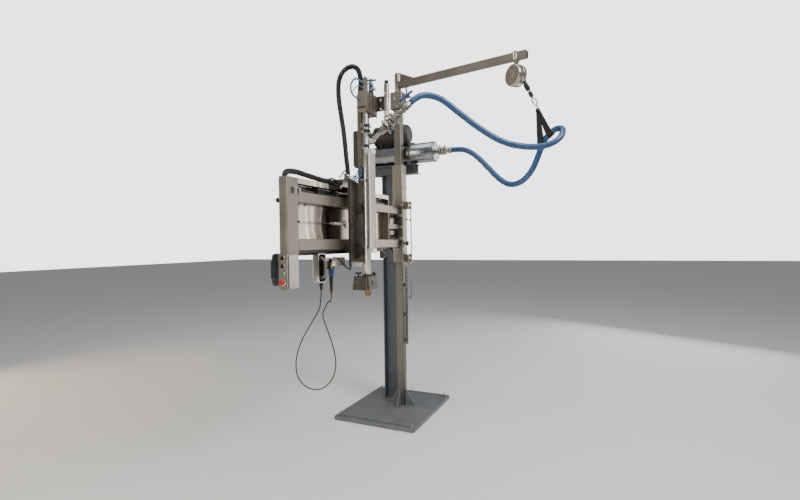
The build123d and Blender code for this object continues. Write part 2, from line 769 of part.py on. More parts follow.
# ================================================================== CARRIAGE
with BuildPart() as carriage_plate:
    for bottom, top, width in (
        (carriage_bottom, carriage_seam, carriage_width - 12),
        (carriage_seam, carriage_top, carriage_width),
    ):
        with BuildSketch(Plane.YZ.offset(carriage_face_x)):
            with Locations((carriage_near_y + width / 2, (bottom + top) / 2)):
                Rectangle(width, top - bottom)
        extrude(amount=plate_thickness)
    with BuildSketch(Plane.YZ.offset(plate_outer_x)):
        with Locations(
            (carriage_near_y + 30, carriage_top - 60),
            (carriage_near_y + 30, carriage_top - 140),
            (carriage_near_y + 30, carriage_seam + 60),
            (carriage_near_y + 30, carriage_seam + 90),
            (carriage_near_y + 30, carriage_bottom + 30),
            (carriage_near_y + 60, carriage_bottom + 42),
        ):
            Circle(6)
    extrude(amount=-8, mode=Mode.SUBTRACT)
carriage_plate.part.label = "carriage_plate"
export_step(carriage_plate.part, "parts/carriage_plate.step")

# ------------------------------------------------------------------ folded saddle over the beam, with the conduit plate on top
saddle_left = beam_left - 13
saddle_bottom = end_box_top + 3
with BuildPart() as carriage_saddle:
    with BuildSketch(Plane.XZ.offset(-carriage_near_y)):
        with Locations(((saddle_left + carriage_face_x) / 2, (saddle_bottom + saddle_top) / 2)):
            Rectangle(carriage_face_x - saddle_left, saddle_top - saddle_bottom)
        with Locations(((saddle_left + carriage_face_x) / 2 + 4, (saddle_bottom + saddle_top) / 2 - 2)):
            Rectangle(
                carriage_face_x - saddle_left - 8, saddle_top - saddle_bottom - 4, mode=Mode.SUBTRACT
            )
    extrude(amount=-carriage_width)
    with BuildSketch(Plane.XZ.offset(-carriage_near_y)):
        with Locations(((saddle_left + carriage_face_x) / 2, (saddle_bottom + saddle_top) / 2 - 30)):
            Rectangle(carriage_face_x - saddle_left, saddle_top - saddle_bottom + 60)
        with Locations(((saddle_left + carriage_face_x) / 2 + 2, saddle_bottom / 2 + saddle_top / 2 - 34)):
            Rectangle(
                carriage_face_x - saddle_left - 4, saddle_top - saddle_bottom + 60, mode=Mode.SUBTRACT
            )
    extrude(amount=-4)
    with BuildSketch(Plane.XZ.offset(-carriage_near_y - 12)):
        with BuildLine():
            Polyline((6, saddle_top), (56, saddle_top), (44, saddle_top + 62), (34, saddle_top + 62), close=True)
        make_face()
    extrude(amount=-8)
carriage_saddle.part.label = "carriage_saddle"
export_step(carriage_saddle.part, "parts/carriage_saddle.step")

# ------------------------------------------------------------------ guide blocks on the two linear rails, with arms to the plate
block_thickness = 33.0
with BuildPart() as guide_blocks:
    for near in (carriage_near_y + 10, carriage_far_y - 22 - block_length):
        for face, side in ((top_rail_top, 1), (low_rail_bottom, -1)):
            low = face + side * slide_gap
            high = low + side * block_thickness
            with BuildSketch(Plane.XZ.offset(-near)):
                with Locations((beam_x, (low + high) / 2)):
                    Rectangle(block_width, block_thickness)
                with Locations((beam_x, face + side * (guide_height + slide_gap) / 2)):
                    Rectangle(
                        guide_width + 2 * slide_gap, guide_height + slide_gap + 0.01, mode=Mode.SUBTRACT
                    )
                with Locations(((beam_x + block_width / 2 + carriage_face_x) / 2, high - side * 6)):
                    Rectangle(carriage_face_x - beam_x - block_width / 2, 12)
            extrude(amount=-block_length)
guide_blocks.part.label = "guide_blocks"
export_step(guide_blocks.part, "parts/guide_blocks.step")

# ------------------------------------------------------------------ mast guides: two keepers that hold the mast profile
keeper_levels = (1700.0, 2060.0)
keeper_height = 90.0
lip = 14.0
with BuildPart() as mast_guides:
    for level in keeper_levels:
        with BuildSketch(Plane.XY.offset(level)):
            with Locations(((plate_outer_x + mast_left) / 2 - slide_gap / 2, mast_mid_y)):
                Rectangle(mast_gap_x - slide_gap, mast_depth + 2 * slide_gap + 2 * lip)
            with Locations(
                ((plate_outer_x + mast_right - slide_gap) / 2, mast_near_y - slide_gap - lip / 2),
                ((plate_outer_x + mast_right - slide_gap) / 2, mast_near_y + mast_depth + slide_gap + lip / 2),
            ):
                Rectangle(mast_right - slide_gap - plate_outer_x, lip)
        extrude(amount=keeper_height)
mast_guides.part.label = "mast_guides"
export_step(mast_guides.part, "parts/mast_guides.step")

# ------------------------------------------------------------------ operator's handle box, its arm to the carriage, cable glands
handle_x = (-30.0, 23.0)
handle_y = (-1585.0, -1477.0)
handle_bottom = 1496.0
handle_top = 1716.0
arm_bottom = 1616.0
arm_top = 1690.0
gland_y = (-1510.0, -1424.0)
gland_x = -4.0
gland_length = 66.0
with BuildPart() as handle_box:
    with BuildSketch(Plane.XY.offset(handle_bottom)):
        with Locations(((handle_x[0] + handle_x[1]) / 2, (handle_y[0] + handle_y[1]) / 2)):
            RectangleRounded(handle_x[1] - handle_x[0], handle_y[1] - handle_y[0], 6)
    extrude(amount=handle_top - handle_bottom)
    with BuildSketch(Plane.XY.offset(handle_bottom + 3)):
        with Locations(((handle_x[0] + handle_x[1]) / 2, (handle_y[0] + handle_y[1]) / 2)):
            Rectangle(handle_x[1] - handle_x[0] - 6, handle_y[1] - handle_y[0] - 6)
    extrude(amount=handle_top - handle_bottom - 6, mode=Mode.SUBTRACT)
    with BuildSketch(Plane.XZ.offset(-handle_y[1])):
        with Locations((handle_x[1] - 6, (arm_bottom + arm_top) / 2)):
            Rectangle(12, arm_top - arm_bottom)
    extrude(amount=-(carriage_near_y - handle_y[1] + 12))
    with BuildSketch(Plane.YZ.offset(handle_x[1] - 12)):
        with Locations((carriage_near_y + 12 + 30, (arm_bottom + arm_top) / 2)):
            Rectangle(60, arm_top - arm_bottom)
    extrude(amount=carriage_face_x - handle_x[1] + 12)
handle_box.part.label = "handle_box"
export_step(handle_box.part, "parts/handle_box.step")

grip_reach = 44.0
grip_bar = 18.0
grip_bottom = 1528.0
grip_top = 1700.0
with BuildPart() as handle_grip:
    with BuildSketch(Plane.XZ.offset(-(handle_y[0] + handle_y[1]) / 2 - 14)):
        with Locations((handle_x[1] + grip_reach / 2, (grip_bottom + grip_top) / 2)):
            Rectangle(grip_reach, grip_top - grip_bottom)
        with Locations((handle_x[1] + (grip_reach - grip_bar) / 2, (grip_bottom + grip_top) / 2)):
            Rectangle(grip_reach - grip_bar, grip_top - grip_bottom - 2 * grip_bar, mode=Mode.SUBTRACT)
    extrude(amount=28)
    fillet(handle_grip.faces().sort_by(Axis.X)[-1].edges(), 7)
handle_grip.part.label = "handle_grip"
export_step(handle_grip.part, "parts/handle_grip.step")

# ------------------------------------------------------------------ level sensor on the arm, and the two hanging cable glands
sensor_y = -1400.0
sensor_bottom = 1610.0
with BuildPart() as level_sensor:
    with BuildSketch(Plane.YZ.offset(handle_x[1])):
        with Locations((sensor_y, sensor_bottom + 30)):
            Rectangle(70, 60)
    extrude(amount=24)
    with BuildSketch(Plane.XY.offset(handle_bottom)):
        with Locations((gland_x, gland_y[0])):
            RegularPolygon(16, 6)
    extrude(amount=-14)
    with BuildSketch(Plane.XY.offset(handle_bottom - 14)):
        with Locations((gland_x, gland_y[0])):
            Circle(12)
    extrude(amount=-(gland_length - 14), taper=3)
    with BuildSketch(Plane.XY.offset(sensor_bottom)):
        with Locations((handle_x[1] + 12, gland_y[1])):
            Circle(11)
    extrude(amount=-(sensor_bottom - handle_bottom + gland_length + 30))
level_sensor.part.label = "level_sensor"
export_step(level_sensor.part, "parts/level_sensor.step")

# ================================================================== MAST AND LANCE
with BuildPart() as mast_profile:
    with BuildSketch(Plane.XY.offset(mast_bottom)):
        with Locations(((mast_left + mast_right) / 2, mast_mid_y)):
            RectangleRounded(mast_width, mast_depth, 3)
            Rectangle(mast_width - 2 * mast_wall, mast_depth - 2 * mast_wall, mode=Mode.SUBTRACT)
    extrude(amount=mast_top - mast_bottom)
mast_profile.part.label = "mast_profile"
export_step(mast_profile.part, "parts/mast_profile.step")

# ------------------------------------------------------------------ head block on the mast's top, with a stem tower and vent valve body
tower_size = 32.0
tower_top = 3205.0
tower_x = 210.0
tower_y = -1122.0
vent_x = 206.0
vent_y = -1010.0
vent_radius = 20.0
vent_top = 3205.0
groove_depth = 5.0
side_tube_x = 304.0
side_tube_radius = 22.5
side_tube_bottom = 2919.0
side_tube_top = 3204.0
with BuildPart() as mast_head:
    with BuildSketch(Plane.XY.offset(head_bottom)):
        with Locations((mast_right + head_x_size / 2, head_mid_y)):
            Rectangle(head_x_size, head_y_size)
    extrude(amount=head_top - head_bottom)
    with BuildSketch(Plane.XY.offset(head_bottom)):
        with Locations((head_right, head_near_y + 66), (head_right, head_near_y + 134)):
            Rectangle(2 * groove_depth, 8)
    extrude(amount=head_top - head_bottom, mode=Mode.SUBTRACT)
    with BuildSketch(Plane.XY.offset(head_top)):
        with Locations((tower_x, tower_y)):
            Rectangle(tower_size, tower_size)
    extrude(amount=tower_top - head_top)
    with BuildSketch(Plane.XY.offset(head_top)):
        with Locations((vent_x, vent_y)):
            Circle(vent_radius)
    extrude(amount=vent_top - head_top)
    with BuildSketch(Plane.XY.offset(head_bottom)):
        with Locations((lance_x, lance_y)):
            Circle(8)
    extrude(amount=60, mode=Mode.SUBTRACT)
    with BuildSketch(Plane.XY.offset(side_tube_bottom + 45)):
        with Locations((side_tube_x - 50, head_near_y + head_y_size + 7)):
            Rectangle(120, 14)
    extrude(amount=130)
    with BuildSketch(Plane.XY.offset(side_tube_bottom)):
        with Locations((side_tube_x, head_near_y + head_y_size + 14 + side_tube_radius)):
            Circle(side_tube_radius)
    extrude(amount=side_tube_top - side_tube_bottom)
mast_head.part.label = "mast_head"
export_step(mast_head.part, "parts/mast_head.step")

# ------------------------------------------------------------------ vent valve's T-handle
with BuildPart() as vent_handle:
    with BuildSketch(Plane.XY.offset(vent_top + slide_gap)):
        with Locations((vent_x, vent_y)):
            Circle(9)
    extrude(amount=12)
    with BuildSketch(Plane.XY.offset(vent_top + slide_gap + 12)):
        with Locations((vent_x, vent_y)):
            SlotOverall(86, 18)
    extrude(amount=12)
vent_handle.part.label = "vent_handle"
export_step(vent_handle.part, "parts/vent_handle.step")

# ------------------------------------------------------------------ lance tube with the branch opening
branch_bore = branch_radius - 2.0
with BuildPart() as lance_tube:
    with BuildSketch(Plane.XY.offset(lance_bottom)):
        with Locations((lance_x, lance_y)):
            Circle(lance_radius)
            Circle(lance_radius - lance_wall, mode=Mode.SUBTRACT)
    extrude(amount=lance_top - lance_bottom)
    with BuildSketch(branch_plane):
        Circle(branch_radius + fit_gap)
    extrude(amount=lance_radius + 30, mode=Mode.SUBTRACT)
lance_tube.part.label = "lance_tube"
export_step(lance_tube.part, "parts/lance_tube.step")

# ------------------------------------------------------------------ clamps that hold the lance and the actuator to the mast
clamp_heights = (1760.0, 2330.0, 2800.0)
clamp_thickness = 30.0
actuator_rail_y = (-1095.0, -1060.0)
with BuildPart() as lance_clamps:
    for level in clamp_heights:
        with BuildSketch(Plane.XY.offset(level)):
            with Locations(((mast_right + lance_x) / 2, lance_y)):
                Rectangle(lance_x - mast_right, 2 * lance_radius + 20)
            with Locations((lance_x, lance_y)):
                Circle(lance_radius + 8)
                Circle(lance_radius + fit_gap, mode=Mode.SUBTRACT)
            with Locations((mast_right - mast_width / 2, lance_y)):
                Rectangle(mast_width, 4 * lance_radius, mode=Mode.SUBTRACT)
        extrude(amount=clamp_thickness)
    for level in clamp_heights[:2]:
        with BuildSketch(Plane.XY.offset(level)):
            with Locations(((lance_x + lance_radius + actuator_x - actuator_radius + 4) / 2, lance_y - 8)):
                Rectangle(actuator_x - actuator_radius + 4 - lance_x - lance_radius, 26)
            with Locations((lance_x, lance_y)):
                Circle(lance_radius + fit_gap, mode=Mode.SUBTRACT)
        extrude(amount=clamp_thickness)
    with BuildSketch(Plane.XY.offset(lance_top)):
        with Locations((lance_x, lance_y)):
            Circle(lance_radius)
            Circle(8, mode=Mode.SUBTRACT)
    extrude(amount=head_bottom - lance_top)
lance_clamps.part.label = "lance_clamps"
export_step(lance_clamps.part, "parts/lance_clamps.step")

# ------------------------------------------------------------------ pneumatic actuator beside the lance, with its rail
cap_height = 34.0
stub_place = (213.0, -1120.0)
stub_radius = 12.0
with BuildPart() as lance_actuator:
    with BuildSketch(Plane.XY.offset(actuator_bottom)):
        with Locations((actuator_x, actuator_y)):
            Circle(actuator_radius)
    extrude(amount=actuator_top - actuator_bottom)
    for level in (actuator_bottom - cap_height, actuator_top):
        with BuildSketch(Plane.XY.offset(level)):
            with Locations((actuator_x, (actuator_y - actuator_radius + actuator_rail_y[1]) / 2)):
                Rectangle(2 * actuator_radius, actuator_rail_y[1] - actuator_y + actuator_radius)
        extrude(amount=cap_height)
    with BuildSketch(Plane.XY.offset(actuator_bottom)):
        with Locations((actuator_x, (actuator_rail_y[0] + actuator_rail_y[1]) / 2)):
            Rectangle(2 * actuator_radius - 8, actuator_rail_y[1] - actuator_rail_y[0])
            with Locations((actuator_radius - 4, 0)):
                Rectangle(8, 12, mode=Mode.SUBTRACT)
    extrude(amount=actuator_top - actuator_bottom)
    with BuildSketch(Plane.XY.offset(actuator_top)):
        with Locations(((stub_place[0] - stub_radius + actuator_x) / 2, stub_place[1])):
            Rectangle(actuator_x - stub_place[0] + stub_radius, 32)
    extrude(amount=cap_height)
    with BuildSketch(Plane.XY.offset(actuator_top + cap_height)):
        with Locations(stub_place):
            Circle(stub_radius)
    extrude(amount=head_bottom - actuator_top - cap_height)
lance_actuator.part.label = "lance_actuator"
export_step(lance_actuator.part, "parts/lance_actuator.step")

# ------------------------------------------------------------------ inlet: branch pipe, union and clamp flanges, ball valve body, hose tail
inlet_profile = (
    (branch_radius, 150.0),
    (30.0, 26.0),
    (40.0, 10.0),
    (34.0, 60.0),
    (40.0, 12.0),
    (24.0, 60.0),
    (42.0, 14.0),
    (24.0, 18.0),
    (38.0, 90.0),
    (26.0, 30.0),
    (33.0, 14.0),
    (27.0, 66.0),
)
with BuildPart() as inlet_pipe:
    place = 0
    for radius, length in inlet_profile:
        with BuildSketch(branch_plane.offset(place)):
            Circle(radius)
        extrude(amount=length)
        place += length
    inlet_length = place
    with BuildSketch(branch_plane):
        Circle(branch_bore)
    extrude(amount=inlet_length, mode=Mode.SUBTRACT)
    with BuildSketch(Plane.XY.offset(lance_bottom)):
        with Locations((lance_x, lance_y)):
            Circle(lance_radius + 0.1)
    extrude(amount=lance_top - lance_bottom, mode=Mode.SUBTRACT)
inlet_pipe.part.label = "inlet_pipe"
export_step(inlet_pipe.part, "parts/inlet_pipe.step")

# ------------------------------------------------------------------ ball valve lever
lever_place = 415.0
lever_plane = Plane(
    origin=branch_plane.origin + branch_direction * lever_place,
    x_dir=branch_direction,
    z_dir=Vector(
        -math.sin(math.radians(branch_rise)) * math.cos(math.radians(branch_turn)),
        -math.sin(math.radians(branch_rise)) * math.sin(math.radians(branch_turn)),
        math.cos(math.radians(branch_rise)),
    ),
)
lever_start = 38.0 + slide_gap
lever_stem = 8.0
with BuildPart() as valve_lever:
    with BuildSketch(lever_plane.offset(lever_start)):
        Circle(8)
    extrude(amount=lever_stem)
    with BuildSketch(lever_plane.offset(lever_start + lever_stem)):
        with Locations((95, 0)):
            SlotOverall(220, 26)
    extrude(amount=16)
valve_lever.part.label = "valve_lever"
export_step(valve_lever.part, "parts/valve_lever.step")

# ------------------------------------------------------------------ fill head at the lance's foot
fill_x = (74.0, 240.0)
fill_y = (-1175.0, -981.0)
fill_bottom = 1407.0
fill_top = 1520.0
fill_mid = ((fill_x[0] + fill_x[1]) / 2, (fill_y[0] + fill_y[1]) / 2)
with BuildPart() as fill_head:
    with BuildSketch(Plane.XY.offset(fill_bottom)):
        with Locations(fill_mid):
            RectangleRounded(fill_x[1] - fill_x[0], fill_y[1] - fill_y[0], 26)
    extrude(amount=fill_top - fill_bottom, taper=7)
    with BuildSketch(Plane.XY.offset(fill_top)):
        with Locations((lance_x, lance_y)):
            Circle(lance_radius + 10)
    extrude(amount=16)
    with BuildSketch(Plane.XY.offset(fill_bottom)):
        with Locations((lance_x, lance_y)):
            Circle(lance_radius + fit_gap)
    extrude(amount=fill_top + 16 - fill_bottom, mode=Mode.SUBTRACT)
fill_head.part.label = "fill_head"
export_step(fill_head.part, "parts/fill_head.step")

# ------------------------------------------------------------------ brass nozzle and the poppet with its long stem inside the lance
nozzle_length = 61.0
seat_radius = 12.0
with BuildPart() as fill_nozzle:
    with BuildSketch(Plane.XY.offset(lance_bottom)):
        with Locations((lance_x, lance_y)):
            Circle(lance_radius)
    extrude(amount=-nozzle_length, taper=10)
    with BuildSketch(Plane.XY.offset(lance_bottom)):
        with Locations((lance_x, lance_y)):
            Circle(seat_radius)
    extrude(amount=-nozzle_length, mode=Mode.SUBTRACT)
fill_nozzle.part.label = "fill_nozzle"
export_step(fill_nozzle.part, "parts/fill_nozzle.step")

stem_radius_lance = 6.0
poppet_height = 20.0
with BuildPart() as valve_stem:
    with BuildSketch(Plane.XY.offset(lance_bottom - nozzle_length + 4)):
        with Locations((lance_x, lance_y)):
            Circle(seat_radius - fit_gap)
    extrude(amount=poppet_height)
    with BuildSketch(Plane.XY.offset(lance_bottom - nozzle_length + 4)):
        with Locations((lance_x, lance_y)):
            Circle(stem_radius_lance)
    extrude(amount=head_bottom + 50 - (lance_bottom - nozzle_length + 4))
valve_stem.part.label = "valve_stem"
export_step(valve_stem.part, "parts/valve_stem.step")

# ------------------------------------------------------------------ fill head knobs
wing_place = (114.0, -1120.0)
with BuildPart() as head_wing:
    with BuildSketch(Plane.XY.offset(fill_top + slide_gap)):
        with Locations(wing_place):
            Circle(7)
    extrude(amount=22)
    with BuildSketch(Plane.XY.offset(fill_top + slide_gap + 22)):
        with Locations(wing_place):
            SlotOverall(60, 12)
    extrude(amount=12)
head_wing.part.label = "head_wing"
export_step(head_wing.part, "parts/head_wing.step")

knob_place = (212.0, -1018.0)
with BuildPart() as head_knob:
    with BuildSketch(Plane.XY.offset(fill_top + slide_gap)):
        with Locations(knob_place):
            Circle(7)
    extrude(amount=8)
    with BuildSketch(Plane.XY.offset(fill_top + slide_gap + 8)):
        with Locations(knob_place):
            Circle(17)
    extrude(amount=24)
    fillet(head_knob.faces().sort_by(Axis.Z)[-1].edges(), 4)
head_knob.part.label = "head_knob"
export_step(head_knob.part, "parts/head_knob.step")

# ================================================================== JIB AND BALANCER
tube_bore = pin_radius + fit_gap
gusset_length = 190.0
gusset_rise = jib_tube_top - boom_z - boom_size / 2 - 8
hanger_z = boom_z - boom_size / 2 - 23.5
hanger_drop = boom_z - hanger_z
hanger_pin_radius = 7.0
cheek_place = 16.0
cheek_below_pin = 16.0
cheek_height = hanger_drop + cheek_below_pin - boom_size / 2 - 2
cheek_middle = hanger_drop + cheek_below_pin - cheek_height / 2
balancer_plane = Plane(
    origin=(pivot.X, pivot.Y, balancer_z), x_dir=boom_plane.z_dir, z_dir=-boom_plane.x_dir
)
hanger_plane = Plane(origin=(pivot.X, pivot.Y, hanger_z), x_dir=boom_plane.z_dir, z_dir=-boom_plane.x_dir)
with BuildPart() as jib_boom:
    with BuildSketch(Plane.XY.offset(jib_housing_top + slide_gap)):
        Circle(jib_tube_radius)
    extrude(amount=jib_tube_top - jib_housing_top - slide_gap)
    with BuildSketch(boom_plane):
        Rectangle(boom_size, boom_size)
    extrude(amount=boom_reach)
    with BuildSketch(Plane(origin=(0, 0, boom_z + boom_size / 2), x_dir=boom_plane.z_dir, z_dir=boom_plane.x_dir)):
        with BuildLine():
            Polyline(
                (0, 0),
                (jib_tube_radius + gusset_length, 0),
                (jib_tube_radius + 20, -gusset_rise),
                (0, -gusset_rise),
                close=True,
            )
        make_face()
    extrude(amount=6, both=True)
    with BuildSketch(Plane.XY.offset(jib_housing_top + slide_gap)):
        Circle(tube_bore)
    extrude(amount=jib_tube_top - 10 - jib_housing_top - slide_gap, mode=Mode.SUBTRACT)
    with BuildSketch(boom_plane.offset(jib_tube_radius + 30)):
        Rectangle(boom_size - 8, boom_size - 8)
    extrude(amount=boom_reach - jib_tube_radius - 36, mode=Mode.SUBTRACT)
    lock_pin = boom_plane.z_dir * 108
    with BuildSketch(Plane.XY.offset(jib_housing_top - 60 + 12 + slide_gap)):
        with Locations((lock_pin.X, lock_pin.Y)):
            Circle(9)
    extrude(amount=boom_z - boom_size / 2 - (jib_housing_top - 60 + 12 + slide_gap))
    with BuildSketch(boom_plane.offset(balancer_reach - 15)):
        Rectangle(boom_size + 14, boom_size + 14)
        Rectangle(boom_size, boom_size, mode=Mode.SUBTRACT)
        with Locations((cheek_place, -cheek_middle), (-cheek_place, -cheek_middle)):
            Rectangle(8, cheek_height)
    extrude(amount=30)
    with BuildSketch(hanger_plane.offset(-cheek_place)):
        Circle(hanger_pin_radius)
    extrude(amount=2 * cheek_place)
jib_boom.part.label = "jib_boom"
export_step(jib_boom.part, "parts/jib_boom.step")

# ------------------------------------------------------------------ balancer: drum with its eye, wire, buffer, hook and the sling that cradles the hose
wire_start = (pivot.X + 72, pivot.Y - 10, balancer_z - 66)
ring_place = (1486.0, -137.0, 3037.0)
cradle_place = (1590.0, -93.0, 2803.0)
wire_direction = (Vector(*ring_place) - Vector(*wire_start)).normalized()
sling_up = (Vector(*ring_place) - Vector(*cradle_place)).normalized()
sling_drop = (Vector(*ring_place) - Vector(*cradle_place)).length
sling_plane = Plane(origin=ring_place, x_dir=Vector(0, 1, 0).cross(sling_up).cross(sling_up), z_dir=Vector(0, 1, 0).cross(sling_up))
wire_plane = Plane(origin=wire_start, z_dir=wire_direction)
wire_length = (Vector(*ring_place) - Vector(*wire_start)).length
cradle_half = hose_radius + 11
with BuildPart() as balancer:
    with BuildSketch(balancer_plane.offset(-balancer_width / 2)):
        Circle(balancer_radius)
    extrude(amount=balancer_width)
    fillet(balancer.faces().filter_by(GeomType.PLANE).edges(), 16)
    with BuildSketch(balancer_plane.offset(slide_gap - cheek_place + 4)):
        with Locations((0, (balancer_radius - 20 + hanger_z - balancer_z) / 2)):
            Rectangle(24, hanger_z - balancer_z - balancer_radius + 20)
        with Locations((0, hanger_z - balancer_z)):
            Circle(13)
            Circle(hanger_pin_radius + fit_gap, mode=Mode.SUBTRACT)
    extrude(amount=2 * (cheek_place - 4 - slide_gap))
    with BuildSketch(wire_plane):
        Circle(4)
    extrude(amount=wire_length)
    for distance, radius, length in ((20.0, 17.0, 62.0), (110.0, 13.0, 26.0), (150.0, 9.0, 60.0)):
        with BuildSketch(wire_plane.offset(distance)):
            Circle(radius)
        extrude(amount=length)
    with BuildSketch(sling_plane.offset(-8)):
        Circle(24)
        Circle(13, mode=Mode.SUBTRACT)
    extrude(amount=16)
    with BuildLine(sling_plane) as sling_line:
        FilletPolyline(
            (0, -20),
            (cradle_half, -sling_drop),
            (cradle_half, -sling_drop - cradle_half),
            (-cradle_half, -sling_drop - cradle_half),
            (-cradle_half, -sling_drop),
            (0, -20),
            radius=14,
        )
    with BuildSketch(Plane(origin=sling_line.wires()[0] @ 0, z_dir=sling_line.wires()[0] % 0)):
        Circle(7)
    sweep(path=sling_line.wires()[0])
balancer.part.label = "balancer"
export_step(balancer.part, "parts/balancer.step")

# ================================================================== HOSE AND CABLES
hose_upper_points = [
    branch_plane.origin + branch_direction * inlet_length,
    branch_plane.origin + branch_direction * (inlet_length + 80),
    (600, -712, 3125),
    (715, -645, 3098),
    (850, -570, 2975),
    (1030, -490, 2818),
    (1220, -410, 2690),
    (1420, -340, 2640),
    (1590, -290, 2648),
    (1700, -235, 2720),
    (1712, -160, 2818),
    (1640, -100, 2838),
    (1572, -90, 2790),
    (1520, -80, 2720),
    (1500, -78, 2665),
]
hose_lower_points = [
    (1500, -78, 2665),
    (1480, -76, 2610),
    (1420, -65, 2470),
    (1320, -50, 2370),
    (1200, -25, 2350),
    (1080, 20, 2430),
    (960, 72, 2562),
    (840, 122, 2688),
    (720, 165, 2775),
    (620, 195, barrel_z),
    (outlet_end, barrel_y, barrel_z),
]
conduit_points = [
    (166, -1122, head_top),
    (166, -1122, 3163),
    (163, -1123, 3231),
    (146, -1125, 3287),
    (104, -1128, 3322),
    (50, -1132, 3320),
    (2, -1135, 3293),
    (-34, -1135, 3247),
    (-51, -1135, 3176),
    (-49, -1135, 3076),
    (-32, -1135, 2950),
    (-8, -1135, 2815),
    (8, -1135, 2680),
    (21, -1135, 2530),
    (34, -1135, 2430),
    (34, -1135, saddle_top),
]
bundle_points = [
    (-8, -1930, end_box_top),
    (-8, -1930, 2343),
    (-8, -1866, 2368),
    (-8, -1770, 2362),
    (-8, -1650, 2338),
    (-8, -1530, 2322),
    (-8, -1410, 2314),
    (-8, -1300, 2313),
    (-8, -1235, 2318),
    (-8, carriage_near_y, 2322),
]
pendant_points = [
    (gland_x, gland_y[0], handle_bottom - gland_length),
    (gland_x, gland_y[0], 1396),
    (14, -1550, 1352),
    (40, -1592, 1306),
    (-19, -1615, 1204),
    (-97, -1620, 1087),
    (-153, -1620, 982),
    (-183, -1620, 866),
    (-172, -1620, 765),
    (-120, -1620, 702),
    (-45, -1620, 673),
    (30, -1620, 676),
    (104, -1620, 710),
    (163, -1620, 777),
    (193, -1620, 854),
    (192, -1620, 951),
    (161, -1620, 1057),
    (113, -1618, 1164),
    (68, -1612, 1258),
    (90, -1590, 1322),
    (80, -1535, 1356),
    (60, -1492, 1342),
    (42, -1456, 1342),
    (handle_x[1] + 12, gland_y[1], 1364),
    (handle_x[1] + 12, gland_y[1], handle_bottom - gland_length - 30),
]


def start_plane(points):
    """Plane across a route's first run, at its start."""
    return Plane(origin=points[0], z_dir=Vector(*points[1]) - Vector(*points[0]))


with BuildPart() as hose_upper:
    with BuildLine():
        FilletPolyline(*hose_upper_points, radius=corner_radii(hose_upper_points))
    with BuildSketch(start_plane(hose_upper_points)):
        Circle(hose_radius)
    sweep()
hose_upper.part.label = "hose_upper"
export_step(hose_upper.part, "parts/hose_upper.step")

with BuildPart() as hose_lower:
    with BuildLine():
        FilletPolyline(*hose_lower_points, radius=corner_radii(hose_lower_points))
    with BuildSketch(start_plane(hose_lower_points)):
        Circle(hose_radius)
    sweep()
hose_lower.part.label = "hose_lower"
export_step(hose_lower.part, "parts/hose_lower.step")

with BuildPart() as conduit:
    with BuildLine():
        FilletPolyline(*conduit_points, radius=corner_radii(conduit_points))
    with BuildSketch(start_plane(conduit_points)):
        Circle(conduit_radius)
    sweep()
conduit.part.label = "conduit"
export_step(conduit.part, "parts/conduit.step")

with BuildPart() as cable_bundle:
    with BuildLine():
        FilletPolyline(*bundle_points, radius=corner_radii(bundle_points))
    with BuildSketch(start_plane(bundle_points)):
        Circle(bundle_radius)
    sweep()
cable_bundle.part.label = "cable_bundle"
export_step(cable_bundle.part, "parts/cable_bundle.step")

with BuildPart() as pendant_cable:
    with BuildLine():
        FilletPolyline(*pendant_points, radius=corner_radii(pendant_points))
    with BuildSketch(start_plane(pendant_points)):
        Circle(pendant_radius)
    sweep()
pendant_cable.part.label = "pendant_cable"
export_step(pendant_cable.part, "parts/pendant_cable.step")

for route_name, route, radius, body in (
    ("hose_upper", hose_upper_points, hose_radius, hose_upper),
    ("hose_lower", hose_lower_points, hose_radius, hose_lower),
    ("conduit", conduit_points, conduit_radius, conduit),
    ("cable_bundle", bundle_points, bundle_radius, cable_bundle),
    ("pendant_cable", pendant_points, pendant_radius, pendant_cable),
):
    report_route(route_name, route, radius)
    print(route_name, "length from volume", round(body.part.volume / (math.pi * radius ** 2)))
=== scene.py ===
import math

import bmesh
import bpy
from mathutils import Matrix, Vector


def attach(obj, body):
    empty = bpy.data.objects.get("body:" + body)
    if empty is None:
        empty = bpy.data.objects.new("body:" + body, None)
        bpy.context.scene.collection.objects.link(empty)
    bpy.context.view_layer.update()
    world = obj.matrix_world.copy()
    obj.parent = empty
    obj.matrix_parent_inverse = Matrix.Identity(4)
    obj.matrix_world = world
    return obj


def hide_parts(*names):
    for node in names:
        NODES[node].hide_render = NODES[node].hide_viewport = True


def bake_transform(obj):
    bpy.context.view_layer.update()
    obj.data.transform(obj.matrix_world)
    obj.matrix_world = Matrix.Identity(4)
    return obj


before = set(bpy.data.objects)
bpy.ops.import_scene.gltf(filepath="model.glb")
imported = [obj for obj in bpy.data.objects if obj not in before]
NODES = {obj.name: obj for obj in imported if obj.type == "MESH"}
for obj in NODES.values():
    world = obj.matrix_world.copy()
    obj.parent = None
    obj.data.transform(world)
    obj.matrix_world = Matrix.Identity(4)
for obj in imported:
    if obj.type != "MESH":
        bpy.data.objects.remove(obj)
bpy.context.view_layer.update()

# ------------------------------ camera
CAMERA_PLACE = Vector((2.0886, -4.5504, 1.8053))
SENSOR_WIDTH, LENS = 36, 20.59
YAW, PITCH, ROLL = (math.radians(a) for a in (24.688, -0.913, -0.794))
forward = Vector((-math.sin(YAW) * math.cos(PITCH), math.cos(YAW) * math.cos(PITCH), math.sin(PITCH)))
level = Vector((math.cos(YAW), math.sin(YAW), 0))
upright = level.cross(forward)
right = level * math.cos(ROLL) + upright * math.sin(ROLL)
up = -level * math.sin(ROLL) + upright * math.cos(ROLL)
camera_data = bpy.data.cameras.new("camera")
camera_data.sensor_width = SENSOR_WIDTH
camera_data.lens = LENS
camera_data.clip_end = 100
camera = bpy.data.objects.new("camera", camera_data)
bpy.context.scene.collection.objects.link(camera)
